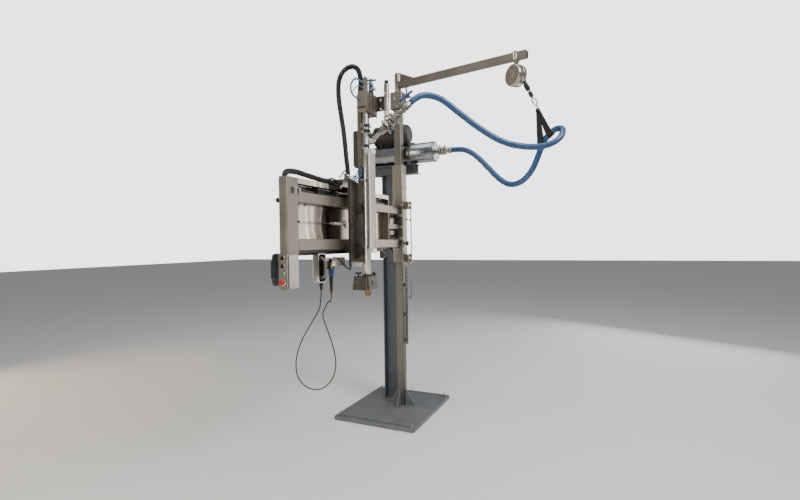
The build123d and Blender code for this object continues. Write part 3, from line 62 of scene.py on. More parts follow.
camera.matrix_world = Matrix(
    (
        (right.x, up.x, -forward.x, CAMERA_PLACE.x),
        (right.y, up.y, -forward.y, CAMERA_PLACE.y),
        (right.z, up.z, -forward.z, CAMERA_PLACE.z),
        (0, 0, 0, 1),
    )
)
bpy.context.scene.camera = camera


# ------------------------------ materials
MATS = {}


def material(
    name,
    color,
    other=None,
    metallic=0.0,
    rough=0.5,
    rough_swing=0.1,
    grain=(60, 60, 60),
    bump=0.0,
    smudge=0.25,
    smudge_scale=4.0,
    fine=0.0,
    fine_scale=900.0,
    coat=0.0,
    sheen=0.0,
):
    """A procedural surface: streaks or grain along one axis, large smudges and fine texture."""
    m = bpy.data.materials.new(name)
    m.use_nodes = True
    tree = m.node_tree
    n, link = tree.nodes, tree.links
    shader = n["Principled BSDF"]
    shader.inputs["Metallic"].default_value = metallic
    shader.inputs["Coat Weight"].default_value = coat
    shader.inputs["Coat Roughness"].default_value = 0.15
    shader.inputs["Sheen Weight"].default_value = sheen
    where = n.new("ShaderNodeTexCoord")
    stretch = n.new("ShaderNodeMapping")
    stretch.inputs["Scale"].default_value = grain
    link.new(where.outputs["Object"], stretch.inputs["Vector"])
    streak = n.new("ShaderNodeTexNoise")
    streak.inputs["Scale"].default_value = 1.0
    streak.inputs["Detail"].default_value = 5.0
    streak.inputs["Roughness"].default_value = 0.65
    link.new(stretch.outputs["Vector"], streak.inputs["Vector"])
    cloud = n.new("ShaderNodeTexNoise")
    cloud.inputs["Scale"].default_value = smudge_scale
    cloud.inputs["Detail"].default_value = 4.0
    link.new(where.outputs["Object"], cloud.inputs["Vector"])
    blend = n.new("ShaderNodeMix")
    blend.data_type = "FLOAT"
    blend.inputs["Factor"].default_value = smudge
    link.new(streak.outputs["Fac"], blend.inputs["A"])
    link.new(cloud.outputs["Fac"], blend.inputs["B"])
    ramp = n.new("ShaderNodeValToRGB")
    ramp.color_ramp.elements[0].position = 0.34
    ramp.color_ramp.elements[1].position = 0.66
    other = other or tuple(c * 0.72 for c in color)
    ramp.color_ramp.elements[0].color = (*other, 1)
    ramp.color_ramp.elements[1].color = (*color, 1)
    link.new(blend.outputs["Result"], ramp.inputs["Fac"])
    link.new(ramp.outputs["Color"], shader.inputs["Base Color"])
    spread = n.new("ShaderNodeMapRange")
    spread.inputs["From Min"].default_value = 0.3
    spread.inputs["From Max"].default_value = 0.7
    spread.inputs["To Min"].default_value = rough - rough_swing
    spread.inputs["To Max"].default_value = rough + rough_swing
    link.new(blend.outputs["Result"], spread.inputs["Value"])
    link.new(spread.outputs["Result"], shader.inputs["Roughness"])
    height = streak.outputs["Fac"]
    if fine:
        dots = n.new("ShaderNodeTexNoise")
        dots.inputs["Scale"].default_value = fine_scale
        dots.inputs["Detail"].default_value = 2.0
        link.new(where.outputs["Object"], dots.inputs["Vector"])
        both = n.new("ShaderNodeMix")
        both.data_type = "FLOAT"
        both.inputs["Factor"].default_value = fine
        link.new(height, both.inputs["A"])
        link.new(dots.outputs["Fac"], both.inputs["B"])
        height = both.outputs["Result"]
    if bump:
        lift = n.new("ShaderNodeBump")
        lift.inputs["Strength"].default_value = bump
        lift.inputs["Distance"].default_value = 0.001
        link.new(height, lift.inputs["Height"])
        link.new(lift.outputs["Normal"], shader.inputs["Normal"])
    MATS[name] = m


ALONG_X, ALONG_Y, ALONG_Z = (3, 420, 420), (420, 3, 420), (420, 420, 3)
WARM = (0.37, 0.33, 0.285)
WARM_DARK = (0.265, 0.235, 0.20)
material("steel_z", WARM, WARM_DARK, 1.0, 0.40, 0.10, ALONG_Z, 0.10, 0.45)
material("steel_y", WARM, WARM_DARK, 1.0, 0.40, 0.10, ALONG_Y, 0.10, 0.45)
material("steel_x", WARM, WARM_DARK, 1.0, 0.40, 0.10, ALONG_X, 0.10, 0.45)
material("dull_steel", (0.22, 0.21, 0.18), (0.15, 0.145, 0.125), 0.9, 0.45, 0.1, ALONG_Z, 0.1, 0.5)
material("bright_steel", (0.78, 0.75, 0.70), (0.62, 0.59, 0.54), 1.0, 0.16, 0.07, ALONG_Z, 0.05, 0.4)
material("polished", (0.40, 0.42, 0.44), (0.27, 0.29, 0.32), 1.0, 0.22, 0.08, ALONG_X, 0.05, 0.5)
# mirror_panel's base colour is replaced below by painted reflection stripes.
material("mirror_panel", (0.5, 0.46, 0.42), (0.30, 0.27, 0.24), 1.0, 0.18, 0.09, (9, 9, 1.2), 0.3, 0.3)
material("fitting", (0.52, 0.475, 0.41), (0.30, 0.27, 0.225), 1.0, 0.24, 0.1, (90, 90, 90), 0.05, 0.5)
material("profile", (0.52, 0.51, 0.50), (0.42, 0.41, 0.40), 0.85, 0.38, 0.08, ALONG_Z, 0.06, 0.4)
material("light_profile", (0.80, 0.80, 0.78), (0.68, 0.68, 0.66), 0.55, 0.34, 0.08, ALONG_Z, 0.05, 0.4)
material(
    "post_paint", (0.115, 0.13, 0.15), (0.085, 0.095, 0.11), 0.0, 0.42, 0.08, (18, 18, 18), 0.12, 0.5,
    fine=0.3, fine_scale=500, coat=0.15,
)
material(
    "base_paint", (0.16, 0.17, 0.18), (0.11, 0.12, 0.13), 0.0, 0.5, 0.1, (22, 22, 22), 0.15, 0.5, fine=0.3,
    fine_scale=500,
)
material(
    "motor_paint", (0.050, 0.052, 0.044), (0.032, 0.033, 0.028), 0.1, 0.48, 0.1, (35, 35, 35), 0.2, 0.5,
    fine=0.4, fine_scale=600,
)
material("dark_steel", (0.10, 0.095, 0.085), (0.055, 0.052, 0.046), 0.8, 0.42, 0.12, (60, 60, 60), 0.1, 0.5)
material(
    "black_plastic", (0.018, 0.018, 0.019), (0.010, 0.010, 0.011), 0.0, 0.42, 0.08, (200, 200, 200), 0.2,
    0.3, fine=0.6, fine_scale=1400,
)
material(
    "black_rubber", (0.016, 0.015, 0.014), (0.009, 0.009, 0.009), 0.0, 0.62, 0.1, (120, 120, 120), 0.25,
    0.4, fine=0.5, fine_scale=1200,
)
material(
    "conduit", (0.014, 0.014, 0.015), (0.008, 0.008, 0.008), 0.0, 0.34, 0.08, (90, 90, 90), 0.1, 0.4,
    coat=0.2,
)
material(
    "red", (0.55, 0.02, 0.015), (0.42, 0.015, 0.012), 0.0, 0.3, 0.05, (90, 90, 90), 0.05, 0.4, coat=0.4,
)
material(
    "green", (0.02, 0.33, 0.08), (0.015, 0.25, 0.06), 0.0, 0.3, 0.05, (90, 90, 90), 0.05, 0.4, coat=0.4,
)
material("nylon", (0.90, 0.88, 0.82), (0.84, 0.82, 0.76), 0.0, 0.5, 0.1, (80, 80, 80), 0.1, 0.5)
material("brass", (0.36, 0.255, 0.11), (0.17, 0.115, 0.05), 1.0, 0.3, 0.1, (70, 70, 240), 0.1, 0.5)
material(
    "cast", (0.12, 0.112, 0.094), (0.045, 0.043, 0.037), 0.75, 0.42, 0.14, (28, 28, 28), 0.35, 0.5, 9.0,
    fine=0.5, fine_scale=420,
)
material(
    "hose", (0.024, 0.098, 0.245), (0.014, 0.062, 0.175), 0.0, 0.36, 0.08, (260, 260, 260), 0.35, 0.35, 6.0,
    fine=0.4, coat=0.25,
)
material(
    "air_blue", (0.03, 0.14, 0.33), (0.02, 0.09, 0.22), 0.0, 0.3, 0.06, (90, 90, 90), 0.05, 0.4, coat=0.4,
)
material(
    "lever_blue", (0.012, 0.045, 0.20), (0.008, 0.03, 0.14), 0.0, 0.4, 0.08, (120, 120, 120), 0.15, 0.4,
    fine=0.4,
)
material("teal", (0.02, 0.10, 0.10), (0.012, 0.06, 0.06), 0.0, 0.38, 0.06, (120, 120, 120), 0.1, 0.4)
material("label_yellow", (0.42, 0.44, 0.06), (0.34, 0.36, 0.05), 0.0, 0.4, 0.06, (120, 120, 120), 0.05, 0.4)
material("drum", (0.36, 0.33, 0.29), (0.24, 0.22, 0.19), 0.7, 0.36, 0.1, (40, 40, 40), 0.1, 0.5, 9.0)
material("box_steel", (0.60, 0.56, 0.51), (0.48, 0.445, 0.40), 0.85, 0.34, 0.08, ALONG_Z, 0.08, 0.4)
material("light_steel", (0.55, 0.53, 0.50), (0.42, 0.40, 0.37), 0.85, 0.33, 0.09, ALONG_Z, 0.08, 0.4)
material("face_steel", (0.36, 0.33, 0.30), (0.27, 0.245, 0.22), 0.95, 0.42, 0.09, ALONG_Z, 0.1, 0.45)
material("head_steel", (0.33, 0.285, 0.235), (0.24, 0.20, 0.16), 0.9, 0.40, 0.1, ALONG_Z, 0.1, 0.45)
material("blue_steel", (0.34, 0.40, 0.44), (0.20, 0.25, 0.29), 0.9, 0.28, 0.1, (90, 90, 90), 0.05, 0.5)
material("teal_steel", (0.30, 0.42, 0.42), (0.10, 0.20, 0.20), 0.7, 0.3, 0.1, (60, 60, 60), 0.05, 0.5)
material("pale_steel", (0.72, 0.70, 0.62), (0.50, 0.48, 0.40), 0.9, 0.26, 0.1, (50, 50, 50), 0.05, 0.5)
material("worn_steel", (0.42, 0.38, 0.32), (0.20, 0.175, 0.14), 0.95, 0.32, 0.12, (45, 45, 45), 0.15, 0.5)
material("bar_bronze", (0.50, 0.43, 0.34), (0.38, 0.32, 0.25), 0.8, 0.38, 0.08, ALONG_Z, 0.08, 0.4)
material(
    "drum_bright", (0.62, 0.585, 0.53), (0.46, 0.43, 0.385), 0.95, 0.24, 0.09, (30, 30, 260), 0.08, 0.4,
)
material(
    "gloss_black", (0.016, 0.017, 0.018), (0.008, 0.009, 0.010), 0.0, 0.22, 0.08, (60, 60, 60), 0.08, 0.5,
    coat=0.6,
)
material(
    "screen", (0.02, 0.022, 0.03), (0.012, 0.014, 0.02), 0.0, 0.08, 0.03, (20, 20, 20), 0.0, 0.5, coat=1.0,
)
material(
    "grip_plastic", (0.20, 0.185, 0.17), (0.14, 0.13, 0.12), 0.1, 0.4, 0.08, (160, 160, 60), 0.15, 0.4,
    fine=0.5,
)
material("mast_dark", (0.235, 0.205, 0.165), (0.15, 0.13, 0.10), 0.9, 0.38, 0.1, ALONG_Z, 0.1, 0.45)
material(
    "webbing", (0.014, 0.014, 0.014), (0.007, 0.007, 0.007), 0.0, 0.75, 0.1, (700, 700, 90), 0.6, 0.2,
    fine=0.4, fine_scale=1500,
)

# Painted reflections on the polished back sheets: bright and dark stripes of the mirrored room are painted
# into their colour at places along the beam.
SHEET_START, SHEET_END = -1.75, -0.26
SHEET_WANDER = 0.14
sheet = MATS["mirror_panel"].node_tree
sheet_place = sheet.nodes.new("ShaderNodeTexCoord")
sheet_split = sheet.nodes.new("ShaderNodeSeparateXYZ")
sheet.links.new(sheet_place.outputs["Object"], sheet_split.inputs["Vector"])
sheet_wave = sheet.nodes.new("ShaderNodeTexNoise")
sheet_wave.inputs["Scale"].default_value = 3.5
sheet.links.new(sheet_place.outputs["Object"], sheet_wave.inputs["Vector"])
sheet_shift = sheet.nodes.new("ShaderNodeMath")
sheet_shift.operation = "MULTIPLY_ADD"
sheet_shift.inputs[1].default_value = SHEET_WANDER
sheet.links.new(sheet_wave.outputs["Fac"], sheet_shift.inputs[0])
sheet.links.new(sheet_split.outputs["Y"], sheet_shift.inputs[2])
sheet_span = sheet.nodes.new("ShaderNodeMapRange")
sheet_span.inputs["From Min"].default_value = SHEET_START
sheet_span.inputs["From Max"].default_value = SHEET_END
sheet.links.new(sheet_shift.outputs["Value"], sheet_span.inputs["Value"])
painted_reflection_ramp = sheet.nodes.new("ShaderNodeValToRGB")
# Colour stops of the painted reflection bands: bright painted highlights and a dark painted band.
PAINTED_REFLECTION_STOPS = (
    (0.00, (0.46, 0.42, 0.37)),
    (0.115, (0.44, 0.40, 0.35)),
    (0.135, (0.80, 0.72, 0.56)),
    (0.150, (0.30, 0.25, 0.18)),
    (0.175, (0.44, 0.40, 0.34)),
    (0.190, (0.85, 0.78, 0.62)),
    (0.205, (0.40, 0.36, 0.31)),
    (0.240, (0.46, 0.42, 0.36)),
    (0.253, (0.82, 0.80, 0.74)),
    (0.268, (0.06, 0.055, 0.05)),
    (0.46, (0.045, 0.04, 0.036)),
    (0.56, (0.50, 0.44, 0.36)),
    (1.00, (0.56, 0.50, 0.41)),
)
for position, color in PAINTED_REFLECTION_STOPS[1:-1]:
    stop = painted_reflection_ramp.color_ramp.elements.new(position)
    stop.color = (*color, 1)
painted_reflection_ramp.color_ramp.elements[0].color = (*PAINTED_REFLECTION_STOPS[0][1], 1)
painted_reflection_ramp.color_ramp.elements[-1].color = (*PAINTED_REFLECTION_STOPS[-1][1], 1)
sheet.links.new(sheet_span.outputs["Result"], painted_reflection_ramp.inputs["Fac"])
sheet.links.new(painted_reflection_ramp.outputs["Color"], sheet.nodes["Principled BSDF"].inputs["Base Color"])

CAD_MATERIALS = {
    "base_plate": "base_paint",
    "column": "dull_steel",
    "lift_rack": "dark_steel",
    "stand_post": "post_paint",
    "stand_beam": "post_paint",
    "metering_barrel": "polished",
    "barrel_heads": "polished",
    "outlet_fitting": "fitting",
    "drive_case": "motor_paint",
    "drive_motor": "motor_paint",
    "jib_housing": "steel_z",
    "piston": "polished",
    "piston_seals": "nylon",
    "screw_nut": "dark_steel",
    "ball_screw": "dark_steel",
    "screw_pulley": "profile",
    "motor_pulley": "profile",
    "drive_belt": "black_rubber",
    "sleeve": "steel_z",
    "slide_pads": "nylon",
    "sleeve_fittings": "fitting",
    "beam_rails": "steel_y",
    "beam_end_box": "steel_z",
    "beam_covers": "mirror_panel",
    "guide_rails": "dark_steel",
    "tension_wire": "bright_steel",
    "control_box": "steel_z",
    "touch_panel": "black_plastic",
    "stop_button": "red",
    "start_button": "green",
    "selector_low": "black_plastic",
    "selector_high": "black_plastic",
    "lock_knob": "black_plastic",
    "carriage_plate": "steel_z",
    "carriage_saddle": "steel_y",
    "guide_blocks": "dark_steel",
    "mast_guides": "dark_steel",
    "handle_box": "steel_z",
    "handle_grip": "black_plastic",
    "level_sensor": "black_rubber",
    "mast_profile": "mast_dark",
    "mast_head": "steel_z",
    "vent_handle": "teal",
    "lance_tube": "bright_steel",
    "lance_clamps": "fitting",
    "lance_actuator": "light_profile",
    "inlet_pipe": "fitting",
    "valve_lever": "lever_blue",
    "fill_head": "cast",
    "fill_nozzle": "brass",
    "valve_stem": "fitting",
    "head_wing": "black_plastic",
    "head_knob": "black_plastic",
    "jib_boom": "steel_x",
    "balancer": "drum",
    "hose_upper": "hose",
    "hose_lower": "hose",
    "conduit": "conduit",
    "cable_bundle": "black_rubber",
    "pendant_cable": "black_rubber",
}
EDGE_WIDTH = {
    "base_plate": 0.003, "fill_head": 0.005, "touch_panel": 0.003, "drive_motor": 0.004,
    "drive_case": 0.003,
}
for node, name in CAD_MATERIALS.items():
    piece = NODES[node]
    piece.data.materials.clear()
    piece.data.materials.append(MATS[name])
    weld = piece.modifiers.new("weld", "WELD")
    weld.merge_threshold = 0.00001
    soften = piece.modifiers.new("soften", "BEVEL")
    soften.width = EDGE_WIDTH.get(node, 0.0014)
    soften.segments = 2
    soften.limit_method = "ANGLE"
    soften.angle_limit = math.radians(38)
    soften.harden_normals = True


# ------------------------------ mesh helpers
def across(direction):
    """Two unit vectors across a direction."""
    direction = Vector(direction).normalized()
    helper = Vector((0, 0, 1)) if abs(direction.z) < 0.9 else Vector((1, 0, 0))
    first = helper.cross(direction).normalized()
    return first, direction.cross(first)


def spoke(angle, first, second):
    """A unit vector at an angle from one of two square directions towards the other."""
    return first * math.cos(angle) + second * math.sin(angle)


class Shape:
    """Collects solids in one mesh. All sizes are in metres, in the row frame."""

    def __init__(self):
        self.bm = bmesh.new()

    def rings(self, rings, closed=False, caps=True):
        rows = [[self.bm.verts.new(p) for p in ring] for ring in rings]
        count = len(rows[0])
        pairs = list(zip(rows, rows[1:])) + ([(rows[-1], rows[0])] if closed else [])
        for one, two in pairs:
            for i in range(count):
                j = (i + 1) % count
                self.bm.faces.new((one[i], one[j], two[j], two[i]))
        if caps and not closed:
            self.bm.faces.new(list(reversed(rows[0])))
            self.bm.faces.new(rows[-1])
        return self

    def turned(self, base, direction, profile, sides=32, flats=None):
        """A turned body: profile is (distance along direction, radius) pairs."""
        base, direction = Vector(base), Vector(direction).normalized()
        a, b = across(direction)
        count = flats or sides
        ring_list = []
        for distance, radius in profile:
            ring_list.append(
                [
                    base
                    + direction * distance
                    + (
                        a * math.cos(2 * math.pi * i / count) + b * math.sin(2 * math.pi * i / count)
                    ) * radius
                    for i in range(count)
                ]
            )
        return self.rings(ring_list)

    def rod(self, start, end, radius, sides=20):
        start, end = Vector(start), Vector(end)
        length = (end - start).length
        edge = min(radius * 0.18, length * 0.2)
        return self.turned(
            start, end - start,
            ((0, radius - edge), (edge, radius), (length - edge, radius), (length, radius - edge)), sides,
        )

    def block(self, low, high, axes=None, edge=0.0015):
        """A box with chamfered upright edges; axes gives a local frame (origin, x, y, z)."""
        origin, x, y, z = axes or (
            Vector((0, 0, 0)), Vector((1, 0, 0)), Vector((0, 1, 0)), Vector((0, 0, 1)),
        )
        (x0, y0, z0), (x1, y1, z1) = low, high
        e = min(edge, (x1 - x0) / 3, (y1 - y0) / 3, (z1 - z0) / 3)

        def ring(level, inset):
            corners = (
                (x0 + inset + e, y0 + inset),
                (x1 - inset - e, y0 + inset),
                (x1 - inset, y0 + inset + e),
                (x1 - inset, y1 - inset - e),
                (x1 - inset - e, y1 - inset),
                (x0 + inset + e, y1 - inset),
                (x0 + inset, y1 - inset - e),
                (x0 + inset, y0 + inset + e),
            )
            return [origin + x * u + y * v + z * level for u, v in corners]

        return self.rings([ring(z0, e), ring(z0 + e, 0), ring(z1 - e, 0), ring(z1, e)])

    def bolt(self, place, direction, radius=0.008, washer=True):
        """Hexagon head on a washer."""
        place, direction = Vector(place), Vector(direction).normalized()
        if washer:
            self.turned(place, direction, ((0, radius * 1.25), (radius * 0.22, radius * 1.25)), 20)
        start = place + direction * (radius * 0.22 if washer else 0)
        self.turned(
            start, direction, ((0, radius), (radius * 0.62, radius), (radius * 0.75, radius * 0.86)),
            flats=6,
        )
        return self

    def socket_screw(self, place, direction, radius=0.006):
        """Round head with a hexagon socket."""
        return self.turned(
            place,
            direction,
            (
                (0, radius),
                (radius * 0.8, radius),
                (radius, radius * 0.85),
                (radius, radius * 0.5),
                (radius * 0.35, radius * 0.48),
            ),
            18,
        )

    def torus(self, centre, normal, radius, thickness, sides=32, section=10):
        a, b = across(normal)
        normal = Vector(normal).normalized()
        ring_list = []
        for i in range(sides):
            t = 2 * math.pi * i / sides
            out = a * math.cos(t) + b * math.sin(t)
            ring_list.append(
                [
                    Vector(centre)
                    + out * (radius + thickness * math.cos(2 * math.pi * k / section))
                    + normal * thickness * math.sin(2 * math.pi * k / section)
                    for k in range(section)
                ]
            )
        return self.rings(ring_list, closed=True)

    def tube(self, path, radius, sides=16, lobes=None):
        """A tube along a path; radius may be a function of (distance, angle)."""
        points = [Vector(p) for p in path]
        tangent = (points[1] - points[0]).normalized()
        a, _ = across(tangent)
        ring_list, distance = [], 0.0
        for i, here in enumerate(points):
            before, after = points[max(i - 1, 0)], points[min(i + 1, len(points) - 1)]
            tangent = (after - before).normalized()
            a = (a - tangent * a.dot(tangent)).normalized()
            b = tangent.cross(a)
            if i:
                distance += (here - points[i - 1]).length
            ring = []
            for k in range(sides):
                t = 2 * math.pi * k / sides
                r = lobes(distance, t) if lobes else radius
                ring.append(here + (a * math.cos(t) + b * math.sin(t)) * r)
            ring_list.append(ring)
        return self.rings(ring_list)

    def done(self, name, mat, body=None, slot=None, replaces=(), smooth=True):
        bmesh.ops.recalc_face_normals(self.bm, faces=self.bm.faces)
        mesh = bpy.data.meshes.new(name)
        self.bm.to_mesh(mesh)
        self.bm.free()
        if smooth:
            mesh.shade_smooth()
            mesh.set_sharp_from_angle(angle=math.radians(34))
        mesh.materials.append(MATS[mat])
        obj = bpy.data.objects.new(name, mesh)
        bpy.context.scene.collection.objects.link(obj)
        if body:
            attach(obj, body)
        if replaces:
            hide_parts(*replaces)
        return obj


def smooth_line(points_mm, steps=12):
    """Points read from the NURBS line of a route whose control points are given in millimetres."""
    data = bpy.data.curves.new("route", "CURVE")
    data.dimensions = "3D"
    spline = data.splines.new("NURBS")
    spline.points.add(len(points_mm) - 1)
    for p, q in zip(spline.points, points_mm):
        p.co = (q[0] / 1000, q[1] / 1000, q[2] / 1000, 1)
    spline.order_u = 3
    spline.use_endpoint_u = True
    spline.resolution_u = steps
    holder = bpy.data.objects.new("route", data)
    bpy.context.scene.collection.objects.link(holder)
    bpy.context.view_layer.update()
    mesh = bpy.data.meshes.new_from_object(holder.evaluated_get(bpy.context.evaluated_depsgraph_get()))
    line = [v.co.copy() for v in mesh.vertices]
    bpy.data.objects.remove(holder)
    bpy.data.meshes.remove(mesh)
    return line


def line_length(line):
    return sum((b - a).length for a, b in zip(line, line[1:]))


def stretch_between(line, first, last):
    """The part of a line between two distances along it."""
    out, distance = [], 0.0
    for a, b in zip(line, line[1:]):
        step = (b - a).length
        for cut in (first, last):
            if distance <= cut < distance + step:
                out.append(a.lerp(b, (cut - distance) / step))
        distance += step
        if first < distance < last:
            out.append(b)
    return out


# ------------------------------ hose and cables
HOSE_DIAMETER = 0.058
branch = Vector((0.5693, 0.4777, 0.6691))
hose_start = Vector((492, -807, 3045))
hose_points = [
    hose_start,
    hose_start + branch * 80,
    (600, -712, 3125),
    (715, -645, 3098),
    (850, -570, 2975),
    (1030, -490, 2818),
    (1220, -410, 2690),
    (1420, -340, 2640),
    (1590, -290, 2648),
    (1700, -235, 2720),
    (1712, -160, 2818),
    (1640, -100, 2838),
    (1572, -90, 2790),
    (1520, -80, 2720),
    (1480, -76, 2610),
    (1420, -65, 2470),
    (1320, -50, 2370),
    (1200, -25, 2350),
    (1080, 20, 2430),
    (960, 72, 2562),
    (840, 122, 2688),
    (720, 165, 2775),
    (620, 195, 2800),
    (541, 195, 2800),
]
hose_line = smooth_line(hose_points, 16)
hose_whole = line_length(hose_line)


def hose_surface(distance, angle):
    """Slight ribbing of the textile reinforcement under the hose's skin."""
    return HOSE_DIAMETER / 2 - 0.0006 + 0.0006 * math.cos(2 * math.pi * distance / 0.012 + angle)


HOSE_CUTS = (
    ("hose_mast", 0.0, 0.50, "mast", "carriage"),
    ("hose_carriage", 0.50, 0.86, "carriage", "sleeve"),
    ("hose_sleeve", 0.86, 1.22, "sleeve", "stand"),
    ("hose_rise", 1.22, 1.64, "stand", "jib"),
    ("hose_loop", 1.64, 2.02, "jib", None),
    ("hose_return", 2.02, hose_whole, "jib", "stand"),
)
for name, first, last, body_a, body_b in HOSE_CUTS:
    line = stretch_between(hose_line, first, last - 1e-6)
    if first == 0.0:
        line = line[1:] if (line[0] - line[1]).length < 1e-6 else line
    shape = Shape().tube(line, HOSE_DIAMETER / 2, 24, hose_surface)
    stand_for = ["hose_upper"] if last < 1.9 else ["hose_lower"]
    if name == "hose_loop":
        stand_for = ["hose_upper", "hose_lower"]
    piece = shape.done(name, "hose", None, "blue_hose", stand_for)
    if body_b:
        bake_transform(piece)
    else:
        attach(piece, body_a)

CONDUIT_DIAMETER = 0.044
conduit_points = [
    (166, -1122, 3095),
    (166, -1122, 3163),
    (163, -1123, 3231),
    (146, -1125, 3287),
    (104, -1128, 3322),
    (50, -1132, 3320),
    (2, -1135, 3293),
    (-34, -1135, 3247),
    (-51, -1135, 3176),
    (-49, -1135, 3076),
    (-32, -1135, 2950),
    (-8, -1135, 2815),
    (8, -1135, 2680),
    (21, -1135, 2530),
    (34, -1135, 2430),
    (34, -1135, 2358),
]


def even_line(line, step):
    """The same line with points an even distance apart, for a tube with fine ribs."""
    whole = line_length(line)
    count = max(2, round(whole / step))
    out, distance, k = [line[0]], 0.0, 1
    for a, b in zip(line, line[1:]):
        run = (b - a).length
        while k < count and distance + run >= k * whole / count:
            out.append(a.lerp(b, (k * whole / count - distance) / run))
            k += 1
        distance += run
    out.append(line[-1])
    return out


def conduit_surface(distance, angle):
    return CONDUIT_DIAMETER / 2 - 0.0016 + 0.0016 * math.cos(2 * math.pi * distance / 0.0072)


conduit_line = even_line(smooth_line(conduit_points, 16), 0.0018)
piece = Shape().tube(conduit_line, 0, 18, conduit_surface).done(
    "conduit_ribbed", "conduit", None, "conduit_grey", ["conduit"],
)
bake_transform(piece)

BUNDLE_DIAMETER = 0.042
bundle_points = [
    (-8, -1930, 2289),
    (-8, -1930, 2318),
    (-8, -1880, 2334),
    (-8, -1790, 2338),
    (-8, -1690, 2330),
    (-8, -1590, 2322),
    (-8, -1480, 2316),
    (-8, -1370, 2314),
    (-8, -1260, 2316),
    (-8, -1182, 2322),
]


def bundle_surface(distance, angle):
    """Seven leads laid together."""
    lobe = abs(math.cos(3.5 * angle + distance * 14))
    return BUNDLE_DIAMETER / 2 * (0.78 + 0.22 * lobe ** 0.6)


bundle_line = even_line(smooth_line(bundle_points, 16), 0.006)
piece = Shape().tube(bundle_line, 0, 56, bundle_surface).done(
    "bundle_leads", "black_rubber", None, "black_rubber", ["cable_bundle"],
)
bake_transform(piece)

PENDANT_DIAMETER = 0.009
pendant_points = [
    (-4, -1510, 1430),
    (-4, -1510, 1396),
    (14, -1550, 1352),
    (40, -1592, 1306),
    (-19, -1615, 1204),
    (-97, -1620, 1087),
    (-153, -1620, 982),
    (-183, -1620, 866),
    (-172, -1620, 765),
    (-120, -1620, 702),
    (-45, -1620, 673),
    (30, -1620, 676),
    (104, -1620, 710),
    (163, -1620, 777),
    (193, -1620, 854),
    (192, -1620, 951),
    (161, -1620, 1057),
    (113, -1618, 1164),
    (68, -1612, 1258),
    (90, -1590, 1322),
    (80, -1535, 1356),
    (60, -1492, 1342),
    (42, -1456, 1342),
    (35, -1424, 1364),
    (35, -1424, 1400),
]
pendant_line = smooth_line(pendant_points, 14)
piece = Shape().tube(pendant_line, PENDANT_DIAMETER / 2, 14).done(
    "pendant_lead", "black_rubber", "carriage", "black_rubber", ["pendant_cable"],
)

# ------------------------------ sizes shared by the detail pieces
def M(x, y, z):
    """A place given in millimetres."""
    return Vector((x, y, z)) / 1000


EX, EY, EZ = Vector((1, 0, 0)), Vector((0, 1, 0)), Vector((0, 0, 1))

# Axes that many pieces share, in millimetres: (y, z) of a level one and (x, y) of an upright one.
BARREL_AXIS = (195, 2800)
MOTOR_AXIS = (195, 3023)
LANCE_AXIS = (179, -1070)
ROD_AXIS = (213, -1120)
VENT_AXIS = (206, -1010)
SIDE_TUBE_AXIS = (304, -907.5)
SENSOR_AXIS = (35, -1424)
SCREW_LEVELS = (2211, 2093, 1846, 1738)


def on_barrel(x):
    return M(x, *BARREL_AXIS)


def on_motor(x):
    return M(x, *MOTOR_AXIS)


def on_lance(z):
    return M(*LANCE_AXIS, z)


def on_vent(z):
    return M(*VENT_AXIS, z)


def on_side_tube(z):
    return M(*SIDE_TUBE_AXIS, z)


def on_sensor(z):
    return M(*SENSOR_AXIS, z)


def box(shape, x, y, z, edge=1.5, axes=None):
    """A chamfered box between two values on each axis, in millimetres."""
    return shape.block(
        (x[0] / 1000, y[0] / 1000, z[0] / 1000), (x[1] / 1000, y[1] / 1000, z[1] / 1000), axes, edge / 1000
    )


# ------------------------------ stand: anchors, beam and housing bolts
bolts = Shape()
for x in (-460, 340):
    for y in (-540, 420):
        bolts.bolt(M(x, y, 30), EZ, 0.013)
        bolts.rod(M(x, y, 40), M(x, y, 66), 0.008)
for x in (-440, 52):
    for y in (150, 240):
        bolts.bolt(M(x, y, 2680), EZ, 0.009)
for side in (-1, 1):
    for z in (3275, 3340, 3400):
        bolts.bolt(M(70 + 0.4, side * 42, z), EX, 0.008)
bolts.done("stand_bolts", "fitting", "stand", "stainless")

round_bolt = Shape()
round_bolt.turned(
    M(-28, -65, 3352), -EY,
    (
        (0, 0.021), (0.004, 0.021), (0.006, 0.019), (0.012, 0.018), (0.014, 0.015), (0.014, 0.006),
        (0.008, 0.005),
    ),
    28,
)
round_bolt.done("housing_screw", "fitting", "stand", "stainless")

# motor: cooling fins and end bells; drive case screws
fins = Shape()
for i in range(26):
    t = 2 * math.pi * i / 26
    if -0.2 < math.cos(t) < 0.2 and math.sin(t) < 0:
        continue
    out = spoke(t, EY, EZ)
    side = EX.cross(out)
    fins.block((-0.340, -0.0022, 0.100), (-0.020, 0.0022, 0.1145), (on_motor(0), EX, side, out), 0.001)
fins.done("motor_fins", "motor_paint", "stand", "motor_paint")
bells = Shape()
bells.turned(
    on_motor(-26), EX,
    (
        (0, 0.1165), (0.012, 0.1175), (0.022, 0.1165), (0.050, 0.108), (0.070, 0.092), (0.0749, 0.070),
        (0.0749, 0.0),
    ),
    8 * 3,
)
bells.turned(on_motor(-370), EX, ((0, 0.090), (0.004, 0.1165), (0.018, 0.1175), (0.028, 0.1165)), 32)
for i in range(4):
    t = math.pi / 4 + math.pi / 2 * i
    bells.socket_screw(on_motor(24) + spoke(t, EY, EZ) * 0.092, EX, 0.0055)
bells.done("motor_bells", "motor_paint", "stand", "motor_paint")
case_bolts = Shape()
for y in (105, 195, 285):
    for z in (2720, 2840, 2960, 3080):
        case_bolts.socket_screw(M(-623, y, z), -EX, 0.006)
case_bolts.done("case_screws", "dark_steel", "stand", "motor_paint")

